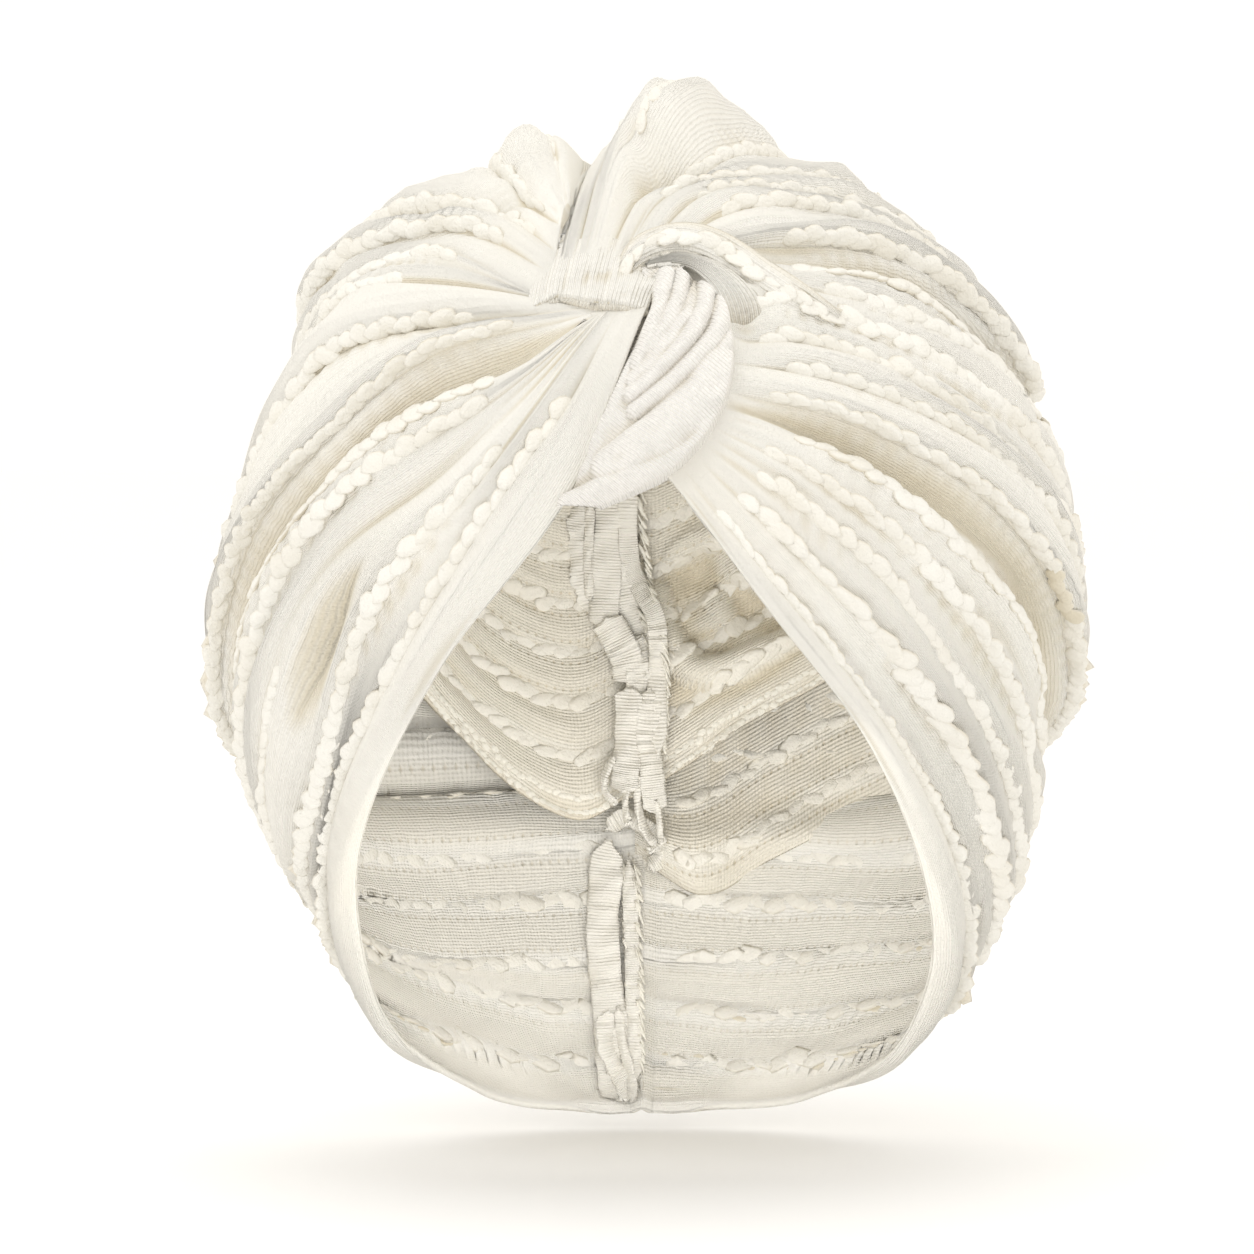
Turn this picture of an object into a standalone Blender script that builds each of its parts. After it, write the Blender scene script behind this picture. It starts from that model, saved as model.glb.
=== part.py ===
"""Soft turban hat with a twisted front knot, shown as it sits on a head.

Two striped jersey panels leave the knot in front, sweep round the sides in
folds and are sewn together down the centre back. Their top edges fold over
the crown and hang inside as a hemmed drape. All tables are in millimetres
and degrees; the model is in metres, +Z up, front toward -Y. The origin is
inside the crown, where the top of the head bears.
"""
import math
from collections import namedtuple

import bmesh
import bpy
import numpy as np

# Sizes of the whole hat and its cloth, in millimetres
CLOTH = 1.6                 # wall of the jersey with its puffed stripes
FORM_CENTRE_Z = -95.0       # height of the middle of the round form
FORM_RADIUS = 100.0         # radius of the form near its front and back
SEAM_GAP = 0.7              # each panel stops this far from the back seam
FULL_FOLD = 11.0            # a fold this wide stands out by its whole puff
CREST_Y = -30.0             # where the crest over the crown is highest
CREST_LENGTH = 34.0         # how far it runs to the front and back
FRONT_REACH = (0.88, 0.91, 0.945, 0.975)    # share of the form's half width that each point may reach

# Samples: along a fold, across a plain fold
ALONG = 25

# Outline of the form seen from the front: distance from its middle, by clock angle
Outline = namedtuple("Outline", "clock radius")
OUTLINE = [
    Outline(0, 98), Outline(20, 99.5), Outline(40, 99.5), Outline(60, 98), Outline(80, 98),
    Outline(100, 96), Outline(120, 103), Outline(140, 116), Outline(150, 122), Outline(160, 133),
    Outline(170, 142), Outline(180, 145), Outline(190, 142), Outline(200, 130), Outline(210, 118),
    Outline(220, 108.5), Outline(240, 100.5), Outline(260, 94.5), Outline(280, 90), Outline(300, 92),
    Outline(320, 101.5), Outline(340, 98), Outline(360, 98),
]

# Depth of the form by height: y of its widest line, then reach to the front and back
Depth = namedtuple("Depth", "z middle front back")
DEPTH = [
    Depth(-225, 34, 36, 70), Depth(-180, 22, 52, 84), Depth(-140, 10, 80, 98),
    Depth(-95, 2, 98, 106), Depth(-40, -2, 100, 106), Depth(12, -8, 92, 100),
]

# Fold lines of a panel, from the face edge up to the crown. The first four are
# (x, z) seen from the front, from the knot outward; clock is where the line
# passes the side, seam the angle from the crown down to where it meets the
# back seam. lift raises the line off the form, puff bulges the fold above it,
# lean hangs that fold over the line, crest raises the line over the crown.
Fold = namedtuple("Fold", "start quarter half three_quarter clock seam lift puff lean crest cuts")
LEFT_FOLDS = [
    Fold((3, -24), (-15, -67), (-44, -107), (-64, -153), 207, 157, 0.0, 3.5, 0.00, 0, 3),
    Fold((-3, -25), (-20, -55), (-51, -102), (-70, -147), 216, 150, 1.0, 3.0, 0.10, 0, 2),
    Fold((-5, -26), (-31, -60), (-55, -89), (-69, -128), 224, 143.5, 1.0, 3.0, 0.10, 0, 2),
    Fold((-6, -27), (-35, -56), (-67, -83), (-83, -115), 229, 137.5, 0.5, 1.5, 0.00, 0, 2),
    Fold((-7, -28), (-35, -50), (-66, -71), (-85, -103), 237, 130.5, 1.5, 3.0, 0.10, 0, 2),
    Fold((-8, -29), (-33, -44), (-65, -63), (-86, -93), 245, 124.5, 0.5, -4.5, 0.00, 0, 2),
    Fold((-9, -29), (-36, -36), (-66, -57), (-88, -86), 254, 118, 2.5, 5.0, 0.32, 0, 3),
    Fold((-11, -28), (-42, -33), (-69, -43), (-88, -67), 265, 110.5, 2.5, 4.5, 0.20, 0, 3),
    Fold((-15, -28), (-46, -23), (-66, -28), (-79, -42), 291, 102, 2.0, 3.0, 0.10, 0, 2),
    Fold((-20, -27), (-45, -18), (-63, -20), (-76, -25), 301, 92.5, 2.0, 3.0, 0.10, 0, 2),
    Fold((-20, -21), (-37, -12), (-54, -10), (-68, -12), 311, 82, 2.5, 5.0, 0.20, 0, 3),
    Fold((-19, -16), (-30, -7), (-41, -4), (-52, -4), 322, 70, 2.0, 5.0, 0.15, 0, 3),
    Fold((-18.2, -12), (-25, -6), (-30, -1), (-34, 2), 340, 56, 1.5, 5.0, 0.10, 5, 2),
    Fold((-17.6, -8.5), (-19, -3), (-20.5, 2), (-21.5, 5), 347, 39, 1.0, 3.0, 0.00, 10, 2),
    Fold((-17, -5.5), (-16.2, -1), (-15, 2), (-14, 5), 352, 16, 0.0, 0.0, 0.00, 4, 2),
]
RIGHT_FOLDS = [
    Fold((4, -63), (26, -92), (49, -123), (65, -163), 153, 157, 0.0, 4.0, 0.00, 0, 3),
    Fold((7, -61), (28, -87), (53, -119), (71, -155), 146, 150, 1.0, 3.0, 0.10, 0, 2),
    Fold((10, -59), (34, -82), (57, -108), (75, -140), 139, 143.5, 1.5, 3.0, 0.10, 0, 2),
    Fold((12, -56), (36, -73), (58, -94), (76, -123), 130, 137.5, 1.0, 2.5, 0.10, 0, 2),
    Fold((13, -53), (38, -66), (62, -86), (79, -110), 123, 131, 1.0, 3.0, 0.10, 0, 2),
    Fold((15, -50), (41, -59), (66, -77), (84, -98), 114, 125.5, 0.5, -4.0, 0.00, 0, 2),
    Fold((16, -46), (41, -52), (67, -66), (86, -85), 104, 120, 2.5, 5.0, 0.30, 0, 3),
    Fold((17, -40), (38, -44), (63, -54), (85, -72), 96, 114, 2.0, 3.5, 0.15, 0, 2),
    Fold((17, -34), (35, -36), (58, -45), (81, -62), 89, 108, 1.5, 3.0, 0.10, 0, 2),
    Fold((16, -26), (34, -29), (58, -38), (80, -53), 82, 101.5, 1.5, 3.0, 0.10, 0, 2),
    Fold((14, -22), (35, -24), (60, -32), (82, -46), 76, 95, 1.5, 3.0, 0.05, 0, 2),
    Fold((12, -18.5), (36, -20), (62, -26), (81, -37), 69, 88, 0.5, -3.5, 0.00, 0, 2),
    Fold((9, -16.8), (34, -15), (56, -19), (73, -25), 61, 81, 2.0, 5.0, 0.30, 0, 3),
    Fold((4, -17.2), (20, -8), (38, -8), (58, -13), 50, 73.5, 2.5, 4.0, 0.10, 0, 2),
    Fold((-1, -18.5), (12, -2), (30, -3), (48, -6), 41, 66, 3.0, 4.0, 0.10, 0, 2),
    Fold((-5, -20), (5, 0), (22, 3), (39, 3), 31, 58, 4.0, 4.0, 0.10, 0, 2),
    Fold((-9, -21), (-1, -1), (11, 4), (23, 6), 19, 49, 5.0, 4.0, 0.00, 0, 2),
    Fold((-13, -22), (-6, -4), (0, 3), (6, 5), 8, 40, 6.0, 3.0, 0.00, 15, 3),
    Fold((-16.5, -24), (-11, -8), (-7, 0), (-4, 4), 0, 29, 5.0, 3.0, 0.00, 7, 2),
    Fold((-19, -25), (-16.5, -12), (-14.5, -4), (-12, 2), -5, 16, 1.0, 0.0, 0.00, 0, 2),
]

# Pleated tongue of the knot: its edges seen from the front, by height
Tongue = namedtuple("Tongue", "z left under right rise")
TONGUE = [
    Tongue(-20.5, -2, 1.5, 9, 3.4), Tongue(-26, -3, 3.6, 17, 4.5), Tongue(-34, -6, 0.6, 20, 6.0),
    Tongue(-42, -10, -3.4, 20, 7.0), Tongue(-50, -14, -7.4, 18, 7.0), Tongue(-58, -18, -11.4, 13, 6.0),
    Tongue(-65, -21, -14.4, 5, 4.5), Tongue(-71, -23, -17.4, -9, 2.6),
]
TONGUE_PLEATS = 5           # pleats across the tongue
PLEAT_DEPTH = 1.4
UNDER_RIM = 3.0             # the tongue's left edge lies this far behind the left panel's face

# Collar: a narrow lip of cloth wrapped across the top of the knot
Collar = namedtuple("Collar", "x z half_width rise")
COLLAR = [
    Collar(-23.5, -28.0, 1.2, 5.0), Collar(-20, -25.0, 2.6, 5.0), Collar(-15.5, -23.5, 3.2, 5.2),
    Collar(-10, -23.5, 3.4, 5.4), Collar(-5, -25.5, 3.0, 5.2), Collar(-1, -28.0, 1.6, 5.0),
]

# Inner drape: hem by angle round from the centre back, as angle down from the crown
Drape = namedtuple("Drape", "around hem")
DRAPE_LEFT = [
    Drape(2.2, 121.5), Drape(10, 125), Drape(17, 124), Drape(25, 119.5), Drape(33, 112),
    Drape(50, 97), Drape(70, 86), Drape(90, 78),
]
DRAPE_RIGHT = [
    Drape(2.2, 120), Drape(9, 117), Drape(15, 113.5), Drape(23, 109), Drape(29, 106),
    Drape(50, 95), Drape(70, 84), Drape(90, 76),
]
DRAPE_TOP = 34.0            # angle down from the crown of the drape's upper edge
DRAPE_TOP_INSET = 2.1
DRAPE_INSET = 11.0          # how far it hangs inside the back wall
DRAPE_RIPPLE = 1.6

# Raw seam allowance standing inside the back seam: centre line and edges by angle
Ruffle = namedtuple("Ruffle", "down left right wave")
RUFFLE_UPPER = [
    Ruffle(78, -9, 4, 0.6), Ruffle(86, -9, 3, 0.9), Ruffle(94, -8, 3, 0.6), Ruffle(102, -6, 4, 0.9),
    Ruffle(109, -5, 4, 0.7), Ruffle(116, -7, 5, 1.0), Ruffle(123.5, -8, 5, 0.9),
]
RUFFLE_LOWER = [
    Ruffle(126, -9, 3, 0.6), Ruffle(130, -10, 1, 1.0), Ruffle(135, -11, 1, 0.6), Ruffle(140, -10, 1, 1.0),
    Ruffle(147, -10, 2, 0.7), Ruffle(153.5, -8, 1, 0.5),
]
UPPER_INSET = 14.2
LOWER_INSET = 2.6


def smooth(xs, ys, x):
    """Smooth curve through the points (xs, ys), read at x."""
    xs = np.asarray(xs, float)
    ys = np.asarray(ys, float)
    slopes = np.gradient(ys, xs)
    i = np.clip(np.searchsorted(xs, x) - 1, 0, len(xs) - 2)
    h = xs[i + 1] - xs[i]
    t = np.clip((x - xs[i]) / h, 0, 1)
    a = (2 * t**3 - 3 * t**2 + 1) * ys[i] + (t**3 - 2 * t**2 + t) * h * slopes[i]
    b = (3 * t**2 - 2 * t**3) * ys[i + 1] + (t**3 - t**2) * h * slopes[i + 1]
    return a + b


def column(rows, name):
    return np.array([getattr(row, name) for row in rows], float)


def form_point(way):
    """Point of the round form in a direction given as a unit vector."""
    clock = np.degrees(np.arctan2(way[..., 0], way[..., 2])) % 360
    q = np.minimum(np.hypot(way[..., 0], way[..., 2]), 1)
    side = smooth(column(OUTLINE, "clock"), column(OUTLINE, "radius"), clock)
    radius = FORM_RADIUS + (side - FORM_RADIUS) * q**2
    x = radius * way[..., 0]
    z = FORM_CENTRE_Z + radius * way[..., 2]
    heights = column(DEPTH, "z")
    front = smooth(heights, column(DEPTH, "front"), z)
    back = smooth(heights, column(DEPTH, "back"), z)
    y = smooth(heights, column(DEPTH, "middle"), z) + np.where(way[..., 1] < 0, front, back) * way[..., 1]
    return np.stack([x, y, z], axis=-1)


def way_to(x, z, most=1.0):
    """Direction in which the form's front lies at (x, z), no nearer its side than most."""
    distance = math.hypot(x, z - FORM_CENTRE_Z)
    clock = math.atan2(x, z - FORM_CENTRE_Z)
    side = smooth(column(OUTLINE, "clock"), column(OUTLINE, "radius"), math.degrees(clock) % 360)
    q = distance / side
    for _ in range(30):
        q = min(distance / (FORM_RADIUS + (side - FORM_RADIUS) * q**2), 1)
    q = min(q, most)
    return np.array([q * math.sin(clock), -math.sqrt(1 - q * q), q * math.cos(clock)])


def unit(v):
    return v / np.linalg.norm(v, axis=-1, keepdims=True)


def fold_ways(folds, side, u):
    """Directions along each fold line of a panel at the fractions u of its length."""
    lines = []
    for fold in folds:
        spots = [way_to(*spot, most) for spot, most in zip(fold[:4], FRONT_REACH)]
        clock = math.radians(fold.clock)
        spots.append(np.array([math.sin(clock), 0, math.cos(clock)]))
        down = math.radians(fold.seam)
        spots.append(unit(np.array([side * SEAM_GAP / FORM_RADIUS, math.sin(down), math.cos(down)])))
        lines.append(spots)
    lines = np.array(lines)
    steps = np.linalg.norm(np.diff(lines, axis=1), axis=2).mean(axis=0)
    knots = np.concatenate([[0], np.cumsum(steps)])
    slopes = np.gradient(lines, knots, axis=1)
    slopes[:, -1] = 0
    slopes[:, -1, 0] = (lines[:, -1, 0] - lines[:, -2, 0]) * 1.1
    x = u * knots[-1]
    i = np.clip(np.searchsorted(knots, x) - 1, 0, len(knots) - 2)
    h = (knots[i + 1] - knots[i])[None, :, None]
    t = ((x - knots[i]) / (knots[i + 1] - knots[i]))[None, :, None]
    a = (2 * t**3 - 3 * t**2 + 1) * lines[:, i] + (t**3 - 2 * t**2 + t) * h * slopes[:, i]
    b = (3 * t**2 - 2 * t**3) * lines[:, i + 1] + (t**3 - t**2) * h * slopes[:, i + 1]
    return unit(a + b)


def across(lines, t):
    """Value at each t across the fold lines, t counting whole lines."""
    count = len(lines)
    i = np.clip(np.floor(t).astype(int), 0, count - 2)
    f = (t - i)
    shape = f.shape + (1,) * (lines.ndim - f.ndim)
    f = f.reshape(shape)
    slopes = np.gradient(lines, axis=0)
    if t.ndim == 1:
        p, q, m, n = lines[i], lines[i + 1], slopes[i], slopes[i + 1]
    else:
        j = np.arange(lines.shape[1])[None, :]
        p, q, m, n = lines[i, j], lines[i + 1, j], slopes[i, j], slopes[i + 1, j]
    return ((2 * f**3 - 3 * f**2 + 1) * p + (f**3 - 2 * f**2 + f) * m
            + (3 * f**2 - 2 * f**3) * q + (f**3 - f**2) * n)


def outward(grid):
    """Unit normals of a grid of points, away from the middle of the hat."""
    normal = np.cross(np.gradient(grid, axis=0), np.gradient(grid, axis=1))
    normal = unit(normal)
    middle = np.array([0, 5, FORM_CENTRE_Z])
    sign = np.sign(((grid - middle) * normal).sum(axis=-1, keepdims=True))
    return normal * sign


def panel_points(folds, side):
    """Outer face of a panel: rows across the folds, columns along them."""
    u = np.linspace(0, 1, ALONG)
    ways = fold_ways(folds, side, u)
    base = form_point(ways)
    width = np.linalg.norm(np.diff(base, axis=0), axis=2)
    grow = np.minimum(width / FULL_FOLD, 1)
    stops = [k + c / fold.cuts for k, fold in enumerate(folds[:-1]) for c in range(fold.cuts)]
    t = np.array(stops + [len(folds) - 1.0])
    band = np.minimum(t.astype(int), len(folds) - 2)
    f = t - band
    hump = np.sin(math.pi * f)[:, None]
    fade = np.clip((1 - u) / 0.10, 0, 1)[None, :] * np.clip(u / 0.09, 0, 1)[None, :]
    strength = grow[band] * fade
    lean = column(folds, "lean")[band][:, None] * hump * strength
    where = t[:, None] - lean
    grid = form_point(unit(across(ways, np.clip(where, 0, len(folds) - 1))))
    rise = np.clip(u / 0.35, 0, 1)[None, :]
    lift = across(column(folds, "lift"), t)[:, None] * fade * rise * rise * (3 - 2 * rise)
    puff = column(folds, "puff")[band][:, None] * hump * strength
    grid = grid + outward(grid) * (lift + puff)[..., None]
    crest = np.maximum(across(column(folds, "crest"), t), 0)[:, None]
    near = np.exp(-((grid[..., 1] - CREST_Y) / CREST_LENGTH) ** 2) * np.clip((grid[..., 2] + 30) / 30, 0, 1)
    grid[..., 2] += crest * near
    return grid


def tongue_points():
    """Outer face of the pleated tongue: rows down it, columns across."""
    fine = np.linspace(TONGUE[0].z, TONGUE[-1].z, 13)
    order = TONGUE[::-1]
    heights = column(order, "z")
    under = 2
    count = 2 * TONGUE_PLEATS + 1
    grid = np.zeros((len(fine), count + under, 3))
    for r, z in enumerate(fine):
        left, edge, right, rise = (smooth(heights, column(order, name), z) for name in ("left", "under", "right", "rise"))
        for c in range(count + under):
            if c < under:
                x = left + (edge - left) * c / under
                out = -UNDER_RIM
            else:
                v = (c - under) / (count - 1)
                x = edge + (right - edge) * v
                bow = math.sin(math.pi * (0.12 + 0.80 * v))
                out = (rise - 2.0) * bow + 2.0 * v + PLEAT_DEPTH * (0.5 if c % 2 else -0.5) * min(1, rise / 6)
                if c == under:
                    out = -UNDER_RIM
            spot = form_point(way_to(x, z))
            grid[r, c] = spot + np.array([0.25 * out * x / 60, -out, 0.25 * out])
    return grid


def collar_points():
    """Outer face of the collar lip: rows across it, columns along."""
    xs = column(COLLAR, "x")
    fine = np.linspace(xs[0], xs[-1], 11)
    grid = np.zeros((5, len(fine), 3))
    for c, x in enumerate(fine):
        z, half, rise = (smooth(xs, column(COLLAR, name), x) for name in ("z", "half_width", "rise"))
        for r in range(5):
            v = r / 2 - 1
            spot = form_point(way_to(x + 0.15 * half * v, z + half * v))
            out = rise - 1.6 * v * v
            grid[r, c] = spot + np.array([0, -out, 0.2 * out])
    return grid


def drape_points(rows, side):
    """Outer face of the drape on one side: rows down it, columns round it."""
    around = column(rows, "around")
    fine = np.linspace(around[0], around[-1], 15)
    hem = smooth(around, column(rows, "hem"), fine)
    steps = 9
    grid = np.zeros((steps, len(fine), 3))
    for c, angle in enumerate(fine):
        for r in range(steps):
            f = r / (steps - 1)
            down = math.radians(DRAPE_TOP + (hem[c] - DRAPE_TOP) * f)
            turn = math.radians(angle)
            way = np.array([side * math.sin(down) * math.sin(turn), math.sin(down) * math.cos(turn), math.cos(down)])
            spot = form_point(way)
            inset = DRAPE_TOP_INSET + (DRAPE_INSET - DRAPE_TOP_INSET) * min(1, f * 2)
            inset += DRAPE_RIPPLE * f * math.sin(math.radians(angle * 9))
            grid[r, c] = spot - unit(spot - np.array([0, 5, FORM_CENTRE_Z])) * inset
    return grid


def ruffle_points(rows, inset, bounds):
    """Outer face of a strip of seam allowance: rows down it, columns across."""
    downs = column(rows, "down")
    fine = np.linspace(downs[0], downs[-1], bounds)
    grid = np.zeros((bounds, 5, 3))
    for r, down in enumerate(fine):
        left, right = smooth(downs, column(rows, "left"), down), smooth(downs, column(rows, "right"), down)
        for c in range(5):
            v = c / 4
            x = left + (right - left) * v
            tilt = math.radians(down)
            way = unit(np.array([x / FORM_RADIUS, math.sin(tilt), math.cos(tilt)]))
            spot = form_point(way)
            edge = abs(2 * v - 1)
            wave = 1.0 + edge * 0.9 * math.sin(down * 1.1 + 3 * v)
            grid[r, c] = spot - unit(spot - np.array([0, 5, FORM_CENTRE_Z])) * (inset + wave - 1.0 + edge * 0.9)
    return grid


def material(name, colour, rough):
    mat = bpy.data.materials.new(name)
    mat.use_nodes = True
    shader = mat.node_tree.nodes["Principled BSDF"]
    shader.inputs["Base Color"].default_value = (*colour, 1)
    shader.inputs["Roughness"].default_value = rough
    return mat


def cloth(name, grid, mat, home, wall=CLOTH):
    """A sheet of cloth from a grid of points on its outer face."""
    rows, cols = grid.shape[:2]
    mesh = bpy.data.meshes.new(name)
    build = bmesh.new()
    corners = [[build.verts.new(grid[r, c] * 0.001) for c in range(cols)] for r in range(rows)]
    for r in range(rows - 1):
        for c in range(cols - 1):
            build.faces.new((corners[r][c], corners[r][c + 1], corners[r + 1][c + 1], corners[r + 1][c]))
    centre = np.array([0, 5, FORM_CENTRE_Z])
    middle = grid[rows // 2, cols // 2]
    build.faces.ensure_lookup_table()
    build.normal_update()
    face = build.faces[(rows // 2) * (cols - 1) + cols // 2]
    if np.dot(np.array(face.normal), middle - centre) < 0:
        bmesh.ops.reverse_faces(build, faces=build.faces[:])
    build.to_mesh(mesh)
    build.free()
    obj = bpy.data.objects.new(name, mesh)
    home.objects.link(obj)
    obj.data.materials.append(mat)
    solid = obj.modifiers.new("wall", "SOLIDIFY")
    solid.thickness = wall * 0.001
    solid.offset = -1
    return obj


for old in list(bpy.data.objects):
    bpy.data.objects.remove(old, do_unlink=True)

hat = bpy.data.collections.new("turban_hat")
bpy.context.scene.collection.children.link(hat)

ivory_left = material("ivory jersey left", (0.80, 0.77, 0.68), 0.85)
ivory_right = material("ivory jersey right", (0.80, 0.77, 0.68), 0.85)
ivory_knot = material("ivory jersey knot", (0.76, 0.73, 0.65), 0.85)
ivory_inside = material("ivory jersey inside", (0.76, 0.71, 0.61), 0.90)
raw_edge = material("raw seam edge", (0.82, 0.79, 0.71), 0.95)

cloth("panel_left", panel_points(LEFT_FOLDS, -1), ivory_left, hat)
cloth("panel_right", panel_points(RIGHT_FOLDS, 1), ivory_right, hat)
cloth("knot_tongue", tongue_points(), ivory_knot, hat)
cloth("knot_collar", collar_points(), ivory_knot, hat)
cloth("drape_left", drape_points(DRAPE_LEFT, -1), ivory_inside, hat)
cloth("drape_right", drape_points(DRAPE_RIGHT, 1), ivory_inside, hat)
cloth("seam_ruffle_upper", ruffle_points(RUFFLE_UPPER, UPPER_INSET, 25), raw_edge, hat, 1.2)
cloth("seam_ruffle_lower", ruffle_points(RUFFLE_LOWER, LOWER_INSET, 19), raw_edge, hat, 1.2)
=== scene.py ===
"""Ivory turban hat with a twisted front knot: the visible cloth, its puffed rows, seams and light.

The form and its fold tables are in millimetres and degrees; meshes are in
metres, +Z up, front toward -Y.
"""
import math
from collections import namedtuple

import bpy
import numpy as np
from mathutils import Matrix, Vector
from mathutils.kdtree import KDTree


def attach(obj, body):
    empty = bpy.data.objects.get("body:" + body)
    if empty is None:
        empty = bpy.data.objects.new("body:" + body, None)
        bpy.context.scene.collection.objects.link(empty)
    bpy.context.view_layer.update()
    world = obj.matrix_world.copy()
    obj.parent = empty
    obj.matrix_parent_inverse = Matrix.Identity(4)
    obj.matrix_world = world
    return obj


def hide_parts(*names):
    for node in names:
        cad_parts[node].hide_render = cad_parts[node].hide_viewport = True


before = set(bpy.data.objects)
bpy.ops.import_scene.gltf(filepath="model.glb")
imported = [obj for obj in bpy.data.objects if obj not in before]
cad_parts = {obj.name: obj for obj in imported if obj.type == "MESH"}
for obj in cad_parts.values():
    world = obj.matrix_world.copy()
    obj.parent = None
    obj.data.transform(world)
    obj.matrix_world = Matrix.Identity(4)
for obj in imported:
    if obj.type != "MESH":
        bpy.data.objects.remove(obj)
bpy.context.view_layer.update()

# Sizes of the whole hat and its cloth, in millimetres
CLOTH = 1.5                 # wall of the jersey
FORM_CENTRE_Z = -95.0       # height of the middle of the round form
FORM_RADIUS = 100.0         # radius of the form near its front and back
SEAM_GAP = -0.5             # each panel runs this far past the back seam
FULL_FOLD = 11.0            # a fold this wide stands out by its whole puff
CREST_Y = -30.0             # where the crest over the crown is highest
CREST_LENGTH = 34.0         # how far it runs to the front and back
FRONT_REACH = (0.88, 0.91, 0.945, 0.975)    # share of the form's half width that each point may reach

# Outline of the form seen from the front: distance from its middle, by clock angle
Outline = namedtuple("Outline", "clock radius")
OUTLINE = [
    Outline(0, 98), Outline(20, 99.5), Outline(40, 99.5), Outline(60, 98), Outline(80, 98),
    Outline(100, 96), Outline(120, 103), Outline(140, 116), Outline(150, 122), Outline(160, 133),
    Outline(170, 142), Outline(180, 145), Outline(190, 142), Outline(200, 130), Outline(210, 118),
    Outline(220, 108.5), Outline(240, 100.5), Outline(260, 94.5), Outline(280, 90), Outline(300, 92),
    Outline(320, 101.5), Outline(340, 98), Outline(360, 98),
]

# Depth of the form by height: y of its widest line, then reach to the front and back
Depth = namedtuple("Depth", "z middle front back")
DEPTH = [
    Depth(-225, 34, 36, 70), Depth(-180, 22, 52, 84), Depth(-140, 10, 80, 98),
    Depth(-95, 2, 98, 106), Depth(-40, -2, 100, 106), Depth(12, -8, 92, 100),
]

# Fold lines of a panel, from the face edge up to the crown. The first four are
# (x, z) seen from the front, from the knot outward; clock is where the line
# passes the side, seam the angle from the crown down to where it meets the
# back seam. lift raises the line off the form, puff bulges the fold above it,
# lean hangs that fold over the line, crest raises the line over the crown.
Fold = namedtuple("Fold", "start quarter half three_quarter clock seam lift puff lean crest")
LEFT_FOLDS = [
    Fold((3, -24), (-15, -67), (-44, -107), (-64, -153), 207, 157, 0.0, 3.5, 0.00, 0),
    Fold((-3, -25), (-20, -55), (-51, -102), (-70, -147), 216, 150, 1.0, 3.0, 0.10, 0),
    Fold((-5, -26), (-31, -60), (-55, -89), (-69, -128), 224, 143.5, 1.0, 3.0, 0.10, 0),
    Fold((-6, -27), (-35, -56), (-67, -83), (-83, -115), 229, 137.5, 0.5, 1.5, 0.00, 0),
    Fold((-7, -28), (-35, -50), (-66, -71), (-85, -103), 237, 130.5, 1.5, 3.0, 0.10, 0),
    Fold((-8, -29), (-33, -44), (-65, -63), (-86, -93), 245, 124.5, 0.5, -4.5, 0.00, 0),
    Fold((-9, -29), (-36, -36), (-66, -57), (-88, -86), 254, 118, 2.5, 5.0, 0.32, 0),
    Fold((-11, -28), (-42, -33), (-69, -43), (-88, -67), 265, 110.5, 2.5, 4.5, 0.20, 0),
    Fold((-15, -28), (-46, -23), (-66, -28), (-79, -42), 291, 102, 2.0, 3.0, 0.10, 0),
    Fold((-20, -27), (-45, -18), (-63, -20), (-76, -25), 301, 92.5, 2.0, 3.0, 0.10, 0),
    Fold((-20, -21), (-37, -12), (-54, -10), (-68, -12), 311, 82, 2.5, 5.0, 0.20, 0),
    Fold((-19, -16), (-30, -7), (-41, -4), (-52, -4), 322, 70, 2.0, 5.0, 0.15, 0),
    Fold((-18.2, -12), (-25, -6), (-30, -1), (-34, 2), 340, 56, 1.5, 5.0, 0.10, 5),
    Fold((-17.6, -8.5), (-19, -3), (-20.5, 2), (-21.5, 5), 347, 39, 1.0, 3.0, 0.00, 10),
    Fold((-17, -5.5), (-16.2, -1), (-15, 2), (-14, 5), 352, 16, 0.0, 0.0, 0.00, 4),
]
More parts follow.
